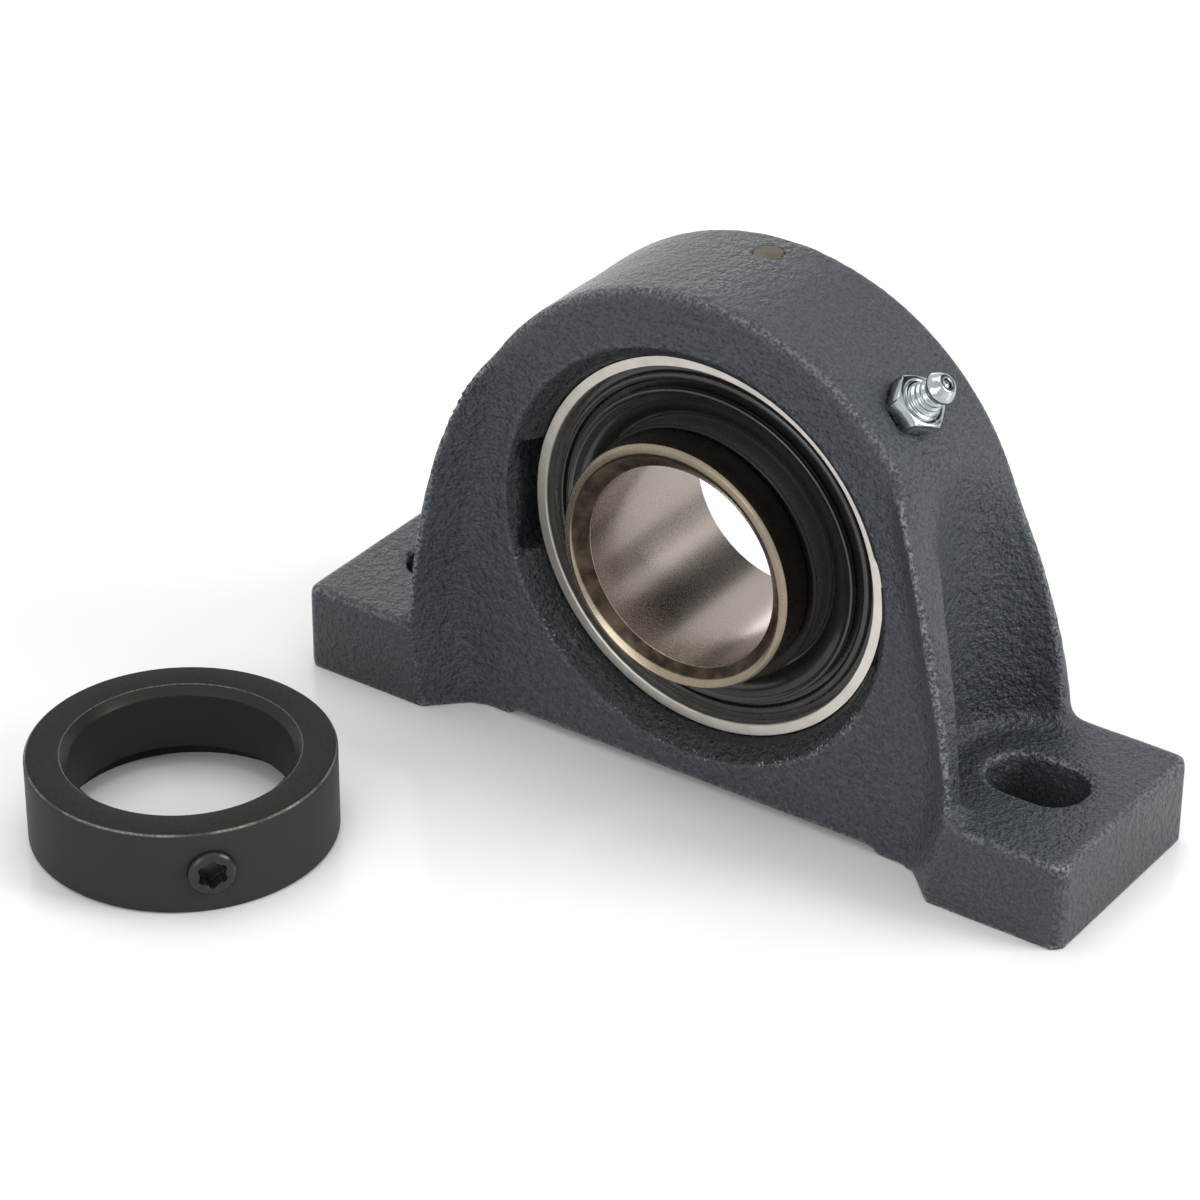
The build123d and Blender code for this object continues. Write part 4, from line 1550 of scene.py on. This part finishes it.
@dataclass
class Viewpoint:
    """The camera, at the photograph's viewing angle."""

    azimuth: float = 34.98
    elevation: float = 30.83
    roll: float = 0.265
    lens: float = 132.435
    sensor: float = 36.0
    right_shift: float = -23.06 * MM
    up_shift: float = 25.55 * MM
    distance: float = 766.0 * MM
    clip_start: float = 0.05
    clip_end: float = 20.0

    def build(self) -> None:
        """Create the camera and make it the scene's own."""
        a = math.radians(self.azimuth)
        e = math.radians(self.elevation)
        back = Vector((math.sin(a) * math.cos(e), -math.cos(a) * math.cos(e), math.sin(e)))
        level = Vector((0, 0, 1)).cross(back).normalized()
        upright = back.cross(level)
        turn = math.radians(self.roll)
        right = level * math.cos(turn) + upright * math.sin(turn)
        up = upright * math.cos(turn) - level * math.sin(turn)
        data = bpy.data.cameras.new("camera")
        data.sensor_width = self.sensor
        data.lens = self.lens
        data.clip_start = self.clip_start
        data.clip_end = self.clip_end
        camera = bpy.data.objects.new("camera", data)
        bpy.context.scene.collection.objects.link(camera)
        axes = Matrix((right, up, back)).transposed().to_4x4()
        eye = right * self.right_shift + up * self.up_shift + back * self.distance
        camera.matrix_world = Matrix.Translation(eye) @ axes
        bpy.context.scene.camera = camera


@dataclass(frozen=True)
class Softbox:
    """One rectangular studio lamp."""

    name: str
    place: Vector
    target: Vector
    width: float
    height: float
    power: float

    def build(self) -> None:
        """Hang the lamp and aim it."""
        data = bpy.data.lights.new(self.name, "AREA")
        data.shape = "RECTANGLE"
        data.size = self.width
        data.size_y = self.height
        data.energy = self.power
        lamp = bpy.data.objects.new(self.name, data)
        bpy.context.scene.collection.objects.link(lamp)
        lamp.location = self.place
        lamp.rotation_euler = (self.target - self.place).to_track_quat("-Z", "Y").to_euler()


@dataclass(frozen=True)
class Flag:
    """Dark card beside the set that only mirror-like surfaces pick up."""

    name: str
    place: Vector
    target: Vector
    width: float
    height: float

    def build(self) -> None:
        """Set the card up, facing its target."""
        mesh = bmesh.new()
        bmesh.ops.create_grid(mesh, x_segments=1, y_segments=1, size=0.5)
        scale = Matrix.Diagonal((self.width, self.height, 1.0, 1.0))
        turn = (self.target - self.place).to_track_quat("Z", "Y").to_matrix().to_4x4()
        stand = Matrix.Translation(self.place) @ turn @ scale
        bmesh.ops.transform(mesh, matrix=stand, verts=mesh.verts[:])
        card = add_piece(self.name, mesh)
        dress(card, Graph.material(self.name).finish(Base_Color=(0.01, 0.01, 0.01), Roughness=0.9))
        card.visible_camera = False
        card.visible_diffuse = False
        card.visible_shadow = False


@dataclass
class Studio:
    """White background, pale glossy floor painted lighter away from the set, and plain soft light."""

    floor_size: float = 6.0
    near: Colour = (0.84, 0.84, 0.84)
    far_painted_light: Colour = (0.96, 0.96, 0.96)
    near_reach: float = 110 * MM
    far_reach: float = 260 * MM
    smudge: float = 120 * MM
    white: Colour = (1.0, 1.0, 1.0)
    ambient: float = 0.72

    def build(self) -> None:
        """Make the floor, the lamps, the cards and the world."""
        self.floor()
        aim = Vector((0.0, 0.0, 0.04))
        stands = (
            Softbox("top_light", Vector((-0.15, 0.10, 0.85)), aim, 0.60, 0.60, 2.7),
            Softbox("right_light", Vector((0.81, 0.30, 0.47)), aim, 0.40, 0.50, 6.4),
            Softbox("back_light", Vector((-0.62, 0.64, 0.20)), aim, 0.40, 0.20, 0.45),
            Softbox("front_light", Vector((0.10, -1.00, 0.45)), aim, 0.70, 0.50, 4.0),
            Flag("side_flag", Vector((0.353, 0.352, 0.040)), aim, 0.10, 0.30),
            Flag("upper_flag", Vector((0.120, 0.352, 0.372)), aim, 0.34, 0.26),
        )
        for stand in stands:
            stand.build()
        self.world()
        bpy.context.scene.view_settings.view_transform = "Standard"

    def floor(self) -> None:
        """Lay the floor under the feet, painted darker near the set and lighter further from it."""
        mesh = bmesh.new()
        bmesh.ops.create_grid(mesh, x_segments=1, y_segments=1, size=self.floor_size / 2)
        piece = add_piece("floor", mesh)
        g = Graph.material("floor_gloss")
        place = g.place()
        x, y, _ = g.parts(place)
        # Painted light and shade: the floor's colour is darker near the set and lighter further out,
        # fading into the white background.
        away = span(x, y).ramp(self.near_reach, self.far_reach)
        smudges = g.grain(place, self.smudge, 2.0, 0.5)
        material = g.finish(
            Base_Color=g.mix(away, self.near, self.far_painted_light),
            Roughness=0.13 + smudges * 0.06,
        )
        dress(piece, material)

    def world(self) -> None:
        """White where it is seen or mirrored, and a plain even light elsewhere."""
        world = bpy.data.worlds.new("studio")
        bpy.context.scene.world = world
        g = Graph(world)
        rays = ("Is Camera Ray", "Is Glossy Ray", "Is Transmission Ray")
        camera, glossy, passed = [g.add("ShaderNodeLightPath", output=ray) for ray in rays]
        seen = camera.above(glossy).above(passed)
        plain, bright = [
            g.add("ShaderNodeBackground", None, {"Color": self.white, "Strength": strength})
            for strength in (self.ambient, 1.0)
        ]
        blend = g.add("ShaderNodeMixShader", None, {0: seen, 1: plain, 2: bright})
        g.show(blend, "ShaderNodeOutputWorld")


def main() -> None:
    """Build the pieces in order and report each one."""
    logging.basicConfig(level=logging.INFO, format="%(name)s: %(message)s")
    Viewpoint().build()
    Studio().build()
    for assembly in (Housing(), LocatingPin(), BearingInsert(), GreaseNipple(), LockingCollar()):
        for piece in assembly.build():
            LOG.info("%s built with %d faces", piece.name, len(piece.data.polygons))


if __name__ == "__main__":
    main()
